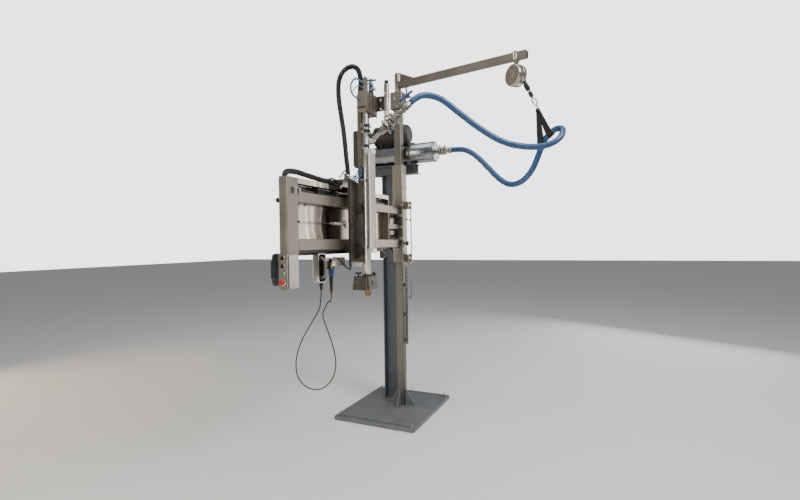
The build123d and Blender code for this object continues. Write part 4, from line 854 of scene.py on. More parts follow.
# metering barrel: front bolts, end beads and clamp bands; clamps at its outlet
rods = Shape()
for i in range(6):
    t = math.pi / 6 + math.pi / 3 * i
    place = on_barrel(0) + spoke(t, EY, EZ) * 0.100
    rods.bolt(place + EX * 0.358, EX, 0.0075)
for x in (-508, 330):
    rods.torus(on_barrel(x), EX, 0.1108, 0.0022, 56, 8)
for x in (-250, 60):
    rods.turned(on_barrel(x), EX, ((0, 0.1096), (0.001, 0.1116), (0.031, 0.1116), (0.032, 0.1096)), 64)
    rods.block((-0.012, -0.012, 0.1105), (0.044, 0.012, 0.124), (on_barrel(x), EX, -EY, EZ), 0.002)
rods.done("barrel_bands", "fitting", "stand", "polished_stainless")
joins = Shape()
for x, wide in ((392, 0.046), (452, 0.040)):
    joins.turned(
        on_barrel(x), EX, ((0, wide * 0.82), (0.003, wide), (0.013, wide), (0.016, wide * 0.82)), 36,
    )
    joins.rod(
        on_barrel(x + 8) + EZ * wide * 0.9 - EY * 0.010,
        on_barrel(x + 8) + EZ * (wide + 0.018) - EY * 0.010, 0.004,
    )
    joins.turned(
        on_barrel(x + 8) + EZ * (wide + 0.010) - EY * 0.010, EZ,
        ((0, 0.008), (0.010, 0.008), (0.012, 0.005)), flats=6,
    )
joins.turned(on_barrel(505), EX, ((0, 0.031), (0.002, 0.0335), (0.032, 0.0335), (0.0355, 0.031)), 36)
joins.turned(on_barrel(515), EX, ((0, 0.0335), (0.001, 0.0352), (0.012, 0.0352), (0.013, 0.0335)), 36)
joins.done("outlet_clamps", "fitting", "stand", "polished_stainless")

# black cable down the blue-grey post, and the two thin rods beside the column
lead = Shape()
post_lead = smooth_line(
    [
        (-190, 108, 1752), (-168, 104, 1748), (-128, 100, 1700), (-102, 98, 1610), (-90, 98, 1500),
        (-84, 100, 1380), (-80, 104, 1250), (-84, 112, 1120), (-84, 112, 980),
    ],
    12,
)
lead.tube(post_lead, 0.011, 14)
lead.done("post_lead", "black_rubber", "stand", "black_rubber")
thin = Shape()
for y in (128, 158):
    thin.rod(M(58, y, 1180), M(58, y, 1585), 0.0045, 12)
for z in (1188, 1570):
    box(thin, (36, 66), (118, 168), (z, z + 10))
box(thin, (30, 44), (36, 168), (1188, 1198))
box(thin, (30, 44), (36, 168), (1570, 1580))
thin.done("side_rods", "fitting", "stand", "stainless")
holes = Shape()
for k in range(30):
    z = 730 + k * 27
    holes.turned(M(73, 0, z), EX, ((0, 0.0052), (0.0012, 0.0052), (0.0016, 0.0044), (0.0016, 0.002)), 14)
holes.done("rack_rivets", "fitting", "stand", "column_steel")

# ------------------------------ sleeve and beam
pads = Shape()
box(pads, (-64, -20), (-112, -66), (2005, 2070), 3)
box(pads, (-64, -20), (-112, -66), (1880, 1936), 3)
pads.done("guide_pads", "nylon", "sleeve", "nylon")
brackets = Shape()
for z in (2072, 1940, 1862):
    box(brackets, (-66, -12), (-118, -60.5), (z, z + 32), 3)
for z in (2005, 1880):
    box(brackets, (-19, -8), (-118, -60.5), (z - 4, z + 68), 2)
brackets.done("pad_brackets", "dark_steel", "sleeve", "dark_steel")
screws = Shape()
for z in SCREW_LEVELS:
    screws.rod(M(-26, -84, z), M(56, -84, z), 0.0045, 12)
    screws.turned(
        M(-42, -84, z), EX, ((0, 0.0105), (0.002, 0.012), (0.014, 0.012), (0.016, 0.0085)), flats=6,
    )
    screws.rod(M(-34, -84, z - 17), M(-34, -84, z + 17), 0.0035, 10)
    screws.turned(M(20, -84, z), EX, ((0, 0.010), (0.009, 0.010)), flats=6)
screws.rod(M(-24, -92, 1974), M(104, -92, 1973), 0.0048, 12)
for x in (-20, 40, 96):
    screws.turned(M(x, -92, 1974), EX, ((0, 0.0095), (0.008, 0.0095)), flats=6)
screws.done("adjusting_screws", "bright_steel", "sleeve", "stainless")
eyes = Shape()
for z in SCREW_LEVELS:
    box(eyes, (26, 54), (-94, -60.4), (z - 9, z + 9), 2)
box(eyes, (52, 62), (-100, -60.4), (1962, 1986), 2)
eyes.done("screw_blocks", "steel_z", "sleeve", "stainless")

# roller bolts, the low roller bracket's tie rod and the sleeve's own screws
trim = Shape()
for level in (2036, 1642):
    for y in (-44, 44):
        trim.bolt(M(104, y, level + 18), EY if y > 0 else -EY, 0.009)
for z in (1548, 1572):
    trim.turned(M(78, -66, z), EZ, ((0, 0.014), (0.010, 0.014), (0.012, 0.012)), flats=6)
trim.rod(M(78, -66, 1520), M(78, -66, 1640), 0.006)
for z in (2620, 2560, 2480, 2400, 1700, 1640):
    trim.socket_screw(M(60, -36, z), EX, 0.006)
    trim.socket_screw(M(60, 36, z), EX, 0.006)
trim.done("sleeve_screws", "fitting", "sleeve", "stainless")

# beam: dark back sheets above and below the rails as painted shade in the gaps there, dividers, end clamp,
# rail bolts, end stops
sheets = Shape()
# These two dark back sheets are painted shade: they stand in for the shadowed gaps above and below the
# rails.
box(sheets, (-45, -42), (-1820, -332), (2194, 2247), 0.6)
box(sheets, (-45, -42), (-1820, -332), (1722, 1756), 0.6)
box(sheets, (-45, 8), (-1820, -332), (1719, 1722), 0.6)
box(sheets, (-42, 21), (-1296, -1290), (2194, 2247), 0.6)
box(sheets, (-42, 21), (-1560, -1556), (2194, 2247), 0.6)
sheets.done("beam_sheets", "dull_steel", "sleeve", "stainless")
clamp = Shape()
box(clamp, (23, 30), (-1884, -1808), (2166, 2222), 2)
box(clamp, (30, 42), (-1880, -1862), (2172, 2216), 3)
box(clamp, (30, 42), (-1832, -1812), (2172, 2216), 3)
for y in (-1871, -1822):
    clamp.bolt(M(42, y, 2203), EX, 0.005)
    clamp.bolt(M(42, y, 2184), EX, 0.005)
clamp.done("end_clamp", "light_steel", "sleeve", "stainless")
caps = Shape()
for y in range(-1760, -380, 120):
    caps.socket_screw(M(-12, y, 2211), EZ, 0.005)
for y in (-1700, -1500, -1300, -900, -700, -500):
    caps.socket_screw(M(23, y, 2268), EX, 0.0045)
for y in (-1930, -1844):
    for z in (1760, 2268):
        caps.socket_screw(M(23, y, z), EX, 0.0045)
caps.done("beam_screws", "fitting", "sleeve", "stainless")
under = Shape()
for y in (-1690, -1600):
    under.turned(M(0, y, 2110), -EZ, ((0, 0.012), (0.006, 0.012), (0.010, 0.007), (0.014, 0.007)), 18)
under.done("rail_plugs", "bright_steel", "sleeve", "stainless")
dark = Shape()
box(dark, (-16, 16), (-446, -404), (2248, 2268), 4)
dark.turned(
    M(0, -425, 2267), EZ, ((0, 0.013), (0.004, 0.018), (0.020, 0.019), (0.028, 0.015), (0.030, 0.008)), 10,
)
box(dark, (-20, 24), (-460, -404), (1650, 1719), 4)
dark.turned(M(24, -432, 1684), EX, ((0, 0.016), (0.010, 0.016), (0.012, 0.010)), 20)
dark.done("end_stops", "dark_steel", "sleeve", "dark_steel")
knob = Shape()
knob.turned(
    M(-47, -1935, 2121), -EX, ((0, 0.008), (0.012, 0.008), (0.013, 0.017), (0.028, 0.018), (0.033, 0.014)),
    10,
)
knob.done("end_box_knob", "black_plastic", "sleeve", "black_plastic")

# tension wire's spring, eye and turnbuckle
coil = Shape()
turns, coil_points = 11, []
for i in range(turns * 12 + 1):
    t = 2 * math.pi * i / 12
    coil_points.append(M(33, -1400 + i * 150 / (turns * 12), 1970) + spoke(t, EX, EZ) * 0.011)
coil.tube(coil_points, 0.0021, 8)
coil.tube(
    [
        M(33, -1400, 1970), M(33, -1404, 1976), M(33, -1414, 1978), M(33, -1422, 1970), M(33, -1414, 1962),
        M(33, -1406, 1964),
    ],
    0.0021, 8,
)
coil.rod(M(33, -1252, 1970), M(33, -1224, 1970), 0.004, 12)
coil.done("wire_spring", "bright_steel", "sleeve", "polished_stainless")
hook = Shape()
hook.torus(M(33, -1206, 1976), EX, 0.020, 0.005, 30, 10)
hook.torus(M(36, -1196, 1952), (Vector((1, 0, 0.4))).normalized(), 0.016, 0.004, 24, 8)
hook.rod(M(33, -1232, 1972), M(33, -1222, 1974), 0.007, 14)
hook.done("wire_eye", "dark_steel", "sleeve", "dark_steel")

# control box: button bezels, lid with screws; touch panel shell and screen
bezels = Shape()
for z, wide in ((1538, 0.0), (1596, 0.0165), (1652, 0.0165), (1708, 0.0165)):
    if wide:
        bezels.turned(
            M(-2, -1975, z), -EY,
            ((0, wide + 0.0015), (0.002, wide + 0.0015), (0.0045, wide), (0.0045, wide - 0.003)), 32,
        )
bezels.turned(M(-2, -1975, 1538), -EY, ((0, 0.023), (0.0025, 0.023), (0.0035, 0.0215)), 36)
bezels.done("button_rings", "bright_steel", "sleeve", "polished_stainless")
lid = Shape()
box(lid, (44, 46.5), (-1969, -1859), (1489, 1731), 1)
for y in (-1960, -1868):
    for z in (1499, 1721):
        lid.socket_screw(M(46.5, y, z), EX, 0.004)
lid.done("control_lid", "box_steel", "sleeve", "stainless")
shell = Shape()
shell.rings(
    [
        [M(x, y, z) for x, y, z in ring]
        for ring in (
            [
                (-45, -1962, 1512), (-45, -1866, 1512), (-45, -1858, 1540), (-45, -1858, 1706),
                (-45, -1866, 1734), (-45, -1962, 1734), (-45, -1970, 1706), (-45, -1970, 1540),
            ],
            [
                (-80, -1968, 1506), (-80, -1860, 1506), (-80, -1853, 1536), (-80, -1853, 1710),
                (-80, -1860, 1740), (-80, -1968, 1740), (-80, -1975, 1710), (-80, -1975, 1536),
            ],
            [
                (-108, -1962, 1514), (-108, -1866, 1514), (-108, -1860, 1546), (-108, -1860, 1700),
                (-108, -1866, 1732), (-108, -1962, 1732), (-108, -1968, 1700), (-108, -1968, 1546),
            ],
            [
                (-122, -1944, 1534), (-122, -1884, 1534), (-122, -1876, 1560), (-122, -1876, 1686),
                (-122, -1884, 1712), (-122, -1944, 1712), (-122, -1952, 1686), (-122, -1952, 1560),
            ],
        )
    ]
)
shell.done("panel_shell", "gloss_black", "sleeve", "black_plastic", ["touch_panel"])
screen = Shape()
box(screen, (-110, -66), (-1977.5, -1971), (1560, 1688), 1.5)
screen.done("panel_screen", "screen", "sleeve", "black_plastic", ["touch_panel"])

# ------------------------------ carriage
plate = Shape()
box(plate, (78, 79.6), (-1178, -982), (2004.5, 2335), 0.8)
box(plate, (78, 79.6), (-1178, -1030), (1605, 2001), 0.8)
plate.done("carriage_face", "face_steel", "carriage", "stainless")
slots = Shape()
box(slots, (79, 80.6), (-1006, -984), (2262, 2332), 1)
box(slots, (78, 84), (-1024, -984), (1720, 2001), 2)
box(slots, (56, 59.5), (-1183, -1040), (1990, 2004), 0.5)
slots.turned(
    M(79, -1046, 1770), EX, ((0, 0.036), (0.010, 0.036), (0.014, 0.031), (0.020, 0.031), (0.022, 0.026)),
    28,
)
slots.rod(M(86, -1046, 1740), M(86, -1030, 1690), 0.012, 12)
slots.done("carriage_black", "black_plastic", "carriage", "black_plastic")
small = Shape()
for z in (2290, 2250, 2130, 2060, 2040, 1980, 1960, 1900, 1700, 1680, 1640, 1622):
    small.socket_screw(M(79.6, -1160, z), EX, 0.005)
    if z > 2010 or z < 1700:
        small.socket_screw(M(79.6, -1105, z - 8), EX, 0.005)
for y in (-1150, -1120, -1078):
    small.bolt(M(79.6, y, 1612 + (y % 3) * 6), EX, 0.0065)
for y in (-1165, -1000):
    for x in (-30, 40):
        small.socket_screw(M(x, y, 2358), EZ, 0.006)
small.done("carriage_screws", "fitting", "carriage", "stainless")
air = Shape()
bundle = [
    [
        (62, -1140, 2352), (50, -1130, 2376), (72, -1105, 2392), (104, -1090, 2386), (130, -1080, 2402),
        (150, -1072, 2440),
    ],
    [
        (66, -1150, 2346), (80, -1138, 2362), (108, -1118, 2370), (128, -1100, 2364), (142, -1088, 2392),
        (146, -1084, 2450),
    ],
    [
        (84, -1146, 2340), (92, -1150, 2366), (112, -1140, 2356), (126, -1118, 2344), (138, -1100, 2366),
        (144, -1094, 2420), (140, -1094, 2460),
    ],
    [
        (90, -1140, 2344), (116, -1146, 2352), (132, -1130, 2374), (118, -1112, 2398), (128, -1100, 2424),
        (138, -1098, 2470),
    ],
    [
        (60, -1120, 2362), (86, -1100, 2378), (118, -1104, 2392), (134, -1118, 2378), (140, -1112, 2350),
        (128, -1104, 2334),
    ],
    [
        (70, -1160, 2342), (96, -1164, 2350), (118, -1156, 2378), (124, -1140, 2404), (134, -1122, 2440),
        (138, -1108, 2480),
    ],
]
for line in bundle:
    air.tube(smooth_line(line, 10), 0.0042, 10)
air.done("air_lines", "air_blue", "carriage", "conduit_grey")
ties = Shape()
ties.torus(M(128, -1112, 2372), (Vector((1, 0.4, 0.4))).normalized(), 0.026, 0.0022, 24, 6)
ties.rod(M(34, -1168, 2392), M(120, -1150, 2366), 0.0055, 12)
ties.rod(M(52, -1172, 2372), M(100, -1160, 2350), 0.0045, 12)
ties.done("air_line_rod", "bright_steel", "carriage", "polished_stainless")
black = Shape()
black.tube(
    smooth_line(
        [
            (20, -1176, 2400), (58, -1192, 2380), (82, -1195, 2320), (80, -1194, 2200), (74, -1192, 2060),
            (76, -1192, 1900), (72, -1192, 1760), (70, -1194, 1660), (92, -1200, 1606), (98, -1224, 1584),
            (84, -1262, 1600), (60, -1300, 1650), (36, -1340, 1692), (10, -1372, 1690), (-6, -1392, 1662),
        ],
        12,
    ),
    0.0062, 12,
)
black.tube(
    smooth_line(
        [(-20, -1182, 2372), (10, -1184, 2408), (34, -1180, 2432), (46, -1166, 2420), (40, -1156, 2380)],
        12,
    ),
    0.006, 10,
)
black.done("signal_lead", "black_rubber", "carriage", "black_rubber")
tangle = Shape()
for line in (
    [
        (-30, -1350, 2310), (-6, -1320, 2336), (18, -1290, 2318), (14, -1262, 2292), (-8, -1250, 2302),
        (-14, -1230, 2330), (0, -1196, 2340),
    ],
    [
        (0, -1362, 2316), (22, -1330, 2300), (30, -1300, 2276), (22, -1270, 2272), (8, -1244, 2290),
        (6, -1210, 2312), (10, -1190, 2330),
    ],
    [
        (-8, -1340, 2300), (16, -1316, 2286), (26, -1286, 2300), (10, -1268, 2330), (-12, -1240, 2322),
        (-8, -1200, 2308),
    ],
    [
        (-20, -1370, 2330), (6, -1356, 2346), (24, -1322, 2334), (26, -1282, 2312), (20, -1240, 2276),
        (16, -1200, 2290),
    ],
):
    tangle.tube(smooth_line(line, 10), 0.0065, 10)
tangle.done("lead_tangle", "black_rubber", "carriage", "black_rubber")
clip = Shape()
box(clip, (6, 34), (-1262, -1226), (2262, 2272), 1.5)
clip.rod(M(30, -1256, 2272), M(34, -1226, 2296), 0.005, 12)
clip.turned(M(20, -1250, 2272), EZ, ((0, 0.008), (0.010, 0.008), (0.012, 0.005)), flats=6)
clip.done("tangle_clip", "bright_steel", "carriage", "polished_stainless")

# handle box: rounded frame with a deep recess lined black as painted shade, and the grip across it
def rounded(y_range, z_range, radius, corner_steps=5):
    """A rounded outline as (y, z) pairs in millimetres."""
    out = []
    corners = (
        (y_range[0] + radius, z_range[0] + radius, 180),
        (y_range[1] - radius, z_range[0] + radius, 270),
        (y_range[1] - radius, z_range[1] - radius, 0),
        (y_range[0] + radius, z_range[1] - radius, 90),
    )
    for cy, cz, start in corners:
        for i in range(corner_steps + 1):
            t = math.radians(start + 90 * i / corner_steps)
            out.append((cy + radius * math.cos(t), cz + radius * math.sin(t)))
    return out


def skin(x, outline, grow=0.0):
    middle_y = sum(p[0] for p in outline) / len(outline)
    middle_z = sum(p[1] for p in outline) / len(outline)
    ring = []
    for y, z in outline:
        d = Vector((0, y - middle_y, z - middle_z)).normalized() * grow
        ring.append(M(x, y + d.y, z + d.z))
    return ring


case = Shape()
outer = rounded((-1585, -1477), (1496, 1732), 22)
inner = rounded((-1577, -1484), (1508, 1722), 26)
case.rings(
    [
        skin(23, inner),
        skin(25, inner, 1.0),
        skin(25, outer, -3.0),
        skin(22, outer),
        skin(-27, outer),
        skin(-30, outer, -3.0),
    ],
    caps=False,
)
back = Shape()
back.rings([skin(-30, outer, -3.0), skin(-29, outer, -3.2)])
case.done("handle_frame", "light_steel", "carriage", "stainless", ["handle_box"])
back.done("handle_back", "light_steel", "carriage", "stainless", ["handle_box"])
# The recess lining and its floor are black: painted shade for the inside of the handle's recess.
recess = Shape()
recess.rings(
    [skin(24.5, inner, 0.8), skin(2, inner, -2.0), skin(-24, inner, -6.0), skin(-25, inner, -30)],
    caps=False,
)
floor_ring = Shape()
floor_ring.rings([skin(-26, inner, -4), skin(-24, inner, -4.5)])
recess.done("handle_recess", "black_plastic", "carriage", "black_plastic", ["handle_box"])
floor_ring.done("handle_recess_floor", "black_plastic", "carriage", "black_plastic", ["handle_box"])
arm = Shape()
box(arm, (-29, 20), (-1477, -1180), (1616, 1690), 2)
arm.done("handle_arm", "light_steel", "carriage", "stainless", ["handle_box"])
grip = Shape()
grip_line = [
    (-20, -1531, 1534), (30, -1531, 1536), (50, -1531, 1562), (50, -1531, 1614), (50, -1531, 1666),
    (30, -1531, 1692), (-20, -1531, 1696),
]
grip.tube(smooth_line(grip_line, 10), 0.0135, 20)
grip.done("grip_bar", "grip_plastic", "carriage", "black_plastic", ["handle_grip"])

# level sensor, the two bend protectors and the brass end of one
sensor = Shape()
box(sensor, (-6, 50), (-1440, -1384), (1600, 1668), 4)
sensor.rod(M(22, -1412, 1668), M(22, -1412, 1684), 0.014, 20)
sensor.done("sensor_body", "black_plastic", "carriage", "sensor_blue", ["level_sensor"])
face = Shape()
box(face, (50, 53), (-1436, -1388), (1622, 1664), 1.5)
face.turned(M(53, -1424, 1650), EX, ((0, 0.006), (0.003, 0.006), (0.004, 0.004)), 16)
face.done("sensor_face", "fitting", "carriage", "polished_stainless", ["level_sensor"])
strip = Shape()
box(strip, (42, 54), (-1440.8, -1436), (1602, 1650), 0.6)
strip.done("sensor_strip", "label_yellow", "carriage", "sensor_blue", ["level_sensor"])
blue = Shape()
blue.turned(
    on_sensor(1600), -EZ, ((0, 0.022), (0.004, 0.024), (0.040, 0.024), (0.048, 0.020), (0.060, 0.019)), 8,
)
blue.done("sensor_coupling", "lever_blue", "carriage", "sensor_blue", ["level_sensor"])


def protector(shape, top, bottom, wide, narrow):
    """A ribbed sleeve that keeps a lead from kinking."""
    length = (top - bottom).length
    profile, k, z = [], 0, 0.0
    while z < length - 0.004:
        r = wide + (narrow - wide) * z / length
        profile += [(z, r), (z + 0.0052, r), (z + 0.0056, r * 0.86), (z + 0.0072, r * 0.86)]
        z += 0.0076
    profile.append((length, narrow * 0.9))
    return shape.turned(top, bottom - top, profile, 20)


boots = Shape()
protector(boots, on_sensor(1542), on_sensor(1404), 0.0165, 0.0095)
protector(boots, M(-4, -1510, 1496), M(-4, -1510, 1434), 0.0165, 0.0085)
boots.done("bend_protectors", "black_rubber", "carriage", "black_rubber", ["level_sensor"])
brass_ends = Shape()
brass_ends.turned(
    on_sensor(1424), -EZ, ((0, 0.0105), (0.006, 0.0125), (0.018, 0.0125), (0.020, 0.009), (0.026, 0.009)),
    flats=6,
)
brass_ends.done("brass_end", "brass", "carriage", "brass")

# ------------------------------ mast, head and lance
head = Shape()
box(head, (146, 227.2), (-1147.5, -1143), (2962, 3095), 1)
box(head, (226, 229), (-1144, -1088), (2922, 3093), 1)
box(head, (226, 229), (-1072, -1020), (2922, 3093), 1)
box(head, (226, 229), (-1004, -946), (2922, 3093), 1)
head.done("head_faces", "head_steel", "mast", "stainless")
seams = Shape()
box(seams, (145, 228), (-1149, -1144), (2949, 2961), 1)
box(seams, (226, 230.5), (-1146, -944), (2905, 2919), 1)
box(seams, (226.5, 227.5), (-1087, -1073), (2922, 3093), 0.3)
box(seams, (226.5, 227.5), (-1019, -1005), (2922, 3093), 0.3)
seams.done("head_seams", "dark_steel", "mast", "dark_steel")
tower = Shape()
tower.rod(M(210, -1122, 3205), M(210, -1122, 3218), 0.010)
tower.turned(M(210, -1122, 3205), EZ, ((0, 0.014), (0.007, 0.014), (0.008, 0.012)), flats=6)
for z in (3120, 3150, 3180):
    tower.socket_screw(M(226, -1122, z), EX, 0.0045)
    tower.socket_screw(M(210, -1138, z), -EY, 0.0045)
tower.turned(on_vent(3095), EZ, ((0, 0.024), (0.014, 0.024), (0.016, 0.0205), (0.020, 0.0205)), flats=6)
tower.turned(on_vent(3150), EZ, ((0, 0.0205), (0.001, 0.0235), (0.020, 0.0235), (0.021, 0.0205)), flats=6)
tower.rod(on_vent(3132), M(244, -1030, 3132), 0.010)
tower.turned(
    M(240, -1028, 3132), Vector((0.88, -0.47, 0)),
    ((0, 0.013), (0.010, 0.013), (0.011, 0.010), (0.020, 0.010)), flats=6,
)
tower.done("tower_fittings", "blue_steel", "mast", "stainless")
side = Shape()
side.turned(
    on_side_tube(2919), EZ,
    ((0, 0.020), (0.002, 0.0232), (0.160, 0.0232), (0.162, 0.0205), (0.163, 0.0205)), 28,
)
side.turned(on_side_tube(3110), EZ, ((0, 0.0226), (0.001, 0.0245), (0.012, 0.0245), (0.013, 0.0226)), 28)
for z in (2980, 3060):
    side.bolt(M(262, -944 - 0.2, z), -EY, 0.008)
side.done("side_tube_bands", "light_profile", "mast", "stainless")
ball = Shape()
ball.turned(
    on_side_tube(3203), EZ,
    (
        (0, 0.008), (0.004, 0.008), (0.006, 0.014), (0.012, 0.0185), (0.020, 0.020), (0.028, 0.0185),
        (0.034, 0.013), (0.0365, 0.005),
    ),
    24,
)
box(ball, (232, 300), (-944.5, -941), (2974, 3088), 1)
box(ball, (236, 262), (-962, -944), (2960, 2975), 1)
ball.done("side_tube_ball", "black_plastic", "mast", "black_plastic")
loop = Shape()
loop.tube(
    smooth_line(
        [
            (206, -1140, 3150), (168, -1152, 3190), (130, -1150, 3206), (98, -1148, 3190),
            (80, -1148, 3150), (84, -1148, 3105), (112, -1150, 3060), (140, -1151, 3040),
            (160, -1150, 3022),
        ],
        14,
    ),
    0.0076, 14,
)
loop.tube(
    smooth_line(
        [
            (232, -1092, 3098), (236, -1060, 3130), (240, -1032, 3160), (214, -1034, 3186),
            (190, -1060, 3176), (186, -1090, 3130), (188, -1104, 3098),
        ],
        12,
    ),
    0.0052, 12,
)
loop.tube(
    smooth_line(
        [(96, -1150, 3098), (120, -1152, 3120), (150, -1150, 3142), (176, -1146, 3138), (190, -1142, 3118)],
        12,
    ),
    0.0046, 12,
)
loop.done("air_loop", "air_blue", "mast", "conduit_grey")
ends = Shape()
ends.turned(
    M(208, -1140, 3148), Vector((-0.6, -0.5, 0.8)),
    ((0, 0.008), (0.012, 0.008), (0.013, 0.006), (0.018, 0.006)), 14,
)
ends.turned(M(158, -1148, 3028), Vector((0.3, 0, -1)), ((0, 0.007), (0.014, 0.007)), 14)
ends.turned(M(232, -1092, 3095), EZ, ((0, 0.008), (0.012, 0.008)), 14)
ends.done("air_ends", "black_plastic", "mast", "black_plastic")
gland = Shape()
protector(gland, M(166, -1122, 3140), M(166, -1122, 3096), 0.0245, 0.027)
gland.done("conduit_gland", "black_rubber", "mast", "black_rubber")
vent = Shape()
vent.turned(
    on_vent(3205.5), EZ, ((0, 0.009), (0.010, 0.009), (0.012, 0.0125), (0.026, 0.0125), (0.028, 0.008)),
    flats=6,
)
bar = (Vector((1, 0.35, 0))).normalized()
vent.turned(
    on_vent(3221) - bar * 0.045, bar,
    (
        (0, 0.005), (0.003, 0.0085), (0.030, 0.0095), (0.045, 0.0075), (0.060, 0.0095), (0.087, 0.0085),
        (0.090, 0.005),
    ),
    18,
)
vent.done("vent_tee", "teal_steel", "vent", "polished_stainless", ["vent_handle"])

# clamps on the lance: split rings with screws, and the black fittings beside the rod
rings = Shape()
for z, wide in ((2800, 0.0415), (2330, 0.0415), (1760, 0.0415), (2756, 0.0395), (2612, 0.0395)):
    rings.turned(
        on_lance(z - 1), EZ,
        (
            (0, wide - 0.003), (0.002, wide), (0.008, wide), (0.011, wide - 0.0045), (0.020, wide - 0.0045),
            (0.023, wide), (0.029, wide), (0.032, wide - 0.003),
        ) if wide > 0.04 else ((0, 0.0325), (0.002, wide), (0.014, wide), (0.016, 0.0325)),
        32,
    )
    for side_y in (-1, 1):
        rings.rod(M(179, -1070 + side_y * 44, z + 8), M(203, -1070 + side_y * 44, z + 8), 0.0045)
        rings.turned(
            M(203, -1070 + side_y * 44, z + 8), EX, ((0, 0.008), (0.006, 0.008), (0.007, 0.006)), flats=6,
        )
rings.done("lance_rings", "bright_steel", "mast", "polished_stainless")
fits = Shape()
for z, wide in ((2790, 0.021), (2744, 0.024), (2618, 0.021)):
    fits.turned(
        M(*ROD_AXIS, z), EZ, ((0, wide * 0.8), (0.004, wide), (0.022, wide), (0.026, wide * 0.8)), 18,
    )
fits.rod(M(*ROD_AXIS, 2752), M(246, -1134, 2752), 0.010)
fits.turned(M(240, -1131, 2752), Vector((0.92, -0.39, 0)), ((0, 0.013), (0.012, 0.013), (0.016, 0.009)), 16)
fits.rod(M(228, -1122, 2720), M(260, -1112, 2704), 0.009)
fits.done("rod_fittings", "black_plastic", "mast", "black_plastic")
marks = Shape()
for k in range(64):
    z = 1772 + k * 12.5
    long = 9 if k % 4 == 0 else 5
    box(marks, (261.2, 261.9), (-1092, -1092 + long), (z, z + 1.6), 0.15)
marks.done("rail_marks", "dark_steel", "mast", "dark_steel")
bar_face = Shape()
box(bar_face, (258, 261.4), (-1094, -1084), (1760, 2566), 0.6)
box(bar_face, (258, 261.4), (-1071, -1061), (1760, 2566), 0.6)
for z in range(1800, 2560, 95):
    bar_face.socket_screw(M(261, -1066, z), EX, 0.003)
bar_face.done("rail_faces", "bar_bronze", "mast", "aluminium_profile")
tube_ends = Shape()
tube_ends.turned(
    M(245, -1116, 1757), EZ, ((0, 0.0202), (0.001, 0.0222), (0.016, 0.0222), (0.018, 0.0202)), 28,
)
tube_ends.turned(
    M(245, -1116, 2552), EZ, ((0, 0.0202), (0.002, 0.0222), (0.017, 0.0222), (0.018, 0.0202)), 28,
)
for x, y in ((232, -1128), (258, -1128), (258, -1070)):
    tube_ends.turned(M(x, y, 1723), -EZ, ((0, 0.005), (0.004, 0.005), (0.005, 0.003)), 14)
tube_ends.done("actuator_ends", "light_profile", "mast", "aluminium_profile")

# ------------------------------ inlet: elbow, unions, ball valve, hose tail
origin = on_lance(2690)
lead_out = Vector((0.7660, 0.6428, 0))
knee = origin + lead_out * 0.030 - EZ * 0.004
joint_a = origin + branch * 0.165 - EZ * 0.038
joint_b = origin + branch * 0.550 - EZ * 0.013
run = (joint_b - joint_a).normalized()
elbow_data = [
    knee - lead_out * 0.012, knee + lead_out * 0.035, joint_a - run * 0.070, joint_a - run * 0.022,
    joint_a + run * 0.004,
]
elbow_line = smooth_line([tuple(p * 1000) for p in elbow_data], 14)
elbow = Shape()
elbow.tube(elbow_line, 0.0195, 26)
elbow.turned(knee - lead_out * 0.002, lead_out, ((0, 0.0235), (0.004, 0.0235), (0.006, 0.020)), 26)
elbow.done("inlet_elbow", "pale_steel", "mast", "polished_stainless", ["inlet_pipe"])


def along(distance):
    return joint_a + run * distance


body = Shape()
body.turned(
    along(0), run,
    (
        (0, 0.0215), (0.002, 0.031), (0.020, 0.033), (0.024, 0.0365), (0.060, 0.0365), (0.064, 0.031),
        (0.070, 0.0235),
    ),
    12,
)
body.turned(
    along(0.070), run,
    (
        (0, 0.0235), (0.001, 0.040), (0.006, 0.0425), (0.013, 0.0425), (0.018, 0.040), (0.020, 0.024),
        (0.048, 0.024),
    ),
    34,
)
body.turned(
    along(0.118), run,
    (
        (0, 0.024), (0.001, 0.038), (0.006, 0.041), (0.014, 0.041), (0.018, 0.036), (0.019, 0.026),
        (0.030, 0.026),
    ),
    34,
)
body.done("inlet_unions", "fitting", "mast", "polished_stainless", ["inlet_pipe"])
valve = Shape()
valve.turned(
    along(0.146), run,
    (
        (0, 0.026), (0.002, 0.040), (0.012, 0.040), (0.015, 0.034), (0.022, 0.036), (0.066, 0.036),
        (0.073, 0.034), (0.076, 0.040), (0.086, 0.040), (0.088, 0.026),
    ),
    30,
)
a_side, b_side = across(run)
for k in range(4):
    t = math.pi / 4 + math.pi / 2 * k
    off = spoke(t, a_side, b_side) * 0.0375
    valve.rod(along(0.142) + off, along(0.238) + off, 0.0042)
    valve.turned(along(0.236) + off, run, ((0, 0.0075), (0.006, 0.0075)), flats=6)
    valve.turned(along(0.146) + off, -run, ((0, 0.0075), (0.006, 0.0075)), flats=6)
down = (lead_out.cross(EZ)).cross(run).normalized()
if down.z > 0:
    down = -down
valve.turned(
    along(0.190), down,
    ((0.028, 0.016), (0.040, 0.016), (0.042, 0.019), (0.056, 0.019), (0.058, 0.012), (0.064, 0.012)),
    flats=6,
)
valve.turned(along(0.190), -down, ((0.030, 0.017), (0.050, 0.017), (0.053, 0.012), (0.060, 0.012)), 24)
out_side = run.cross(down).normalized()
valve.rod(along(0.175) + out_side * 0.030, along(0.175) + out_side * 0.058, 0.009)
valve.turned(
    along(0.175) + out_side * 0.054, out_side, ((0, 0.013), (0.010, 0.013), (0.012, 0.009)), flats=6,
)
valve.rod(along(0.215) - out_side * 0.030, along(0.215) - out_side * 0.052, 0.009)
valve.done("ball_valve_body", "worn_steel", "mast", "polished_stainless", ["inlet_pipe"])
tail = Shape()
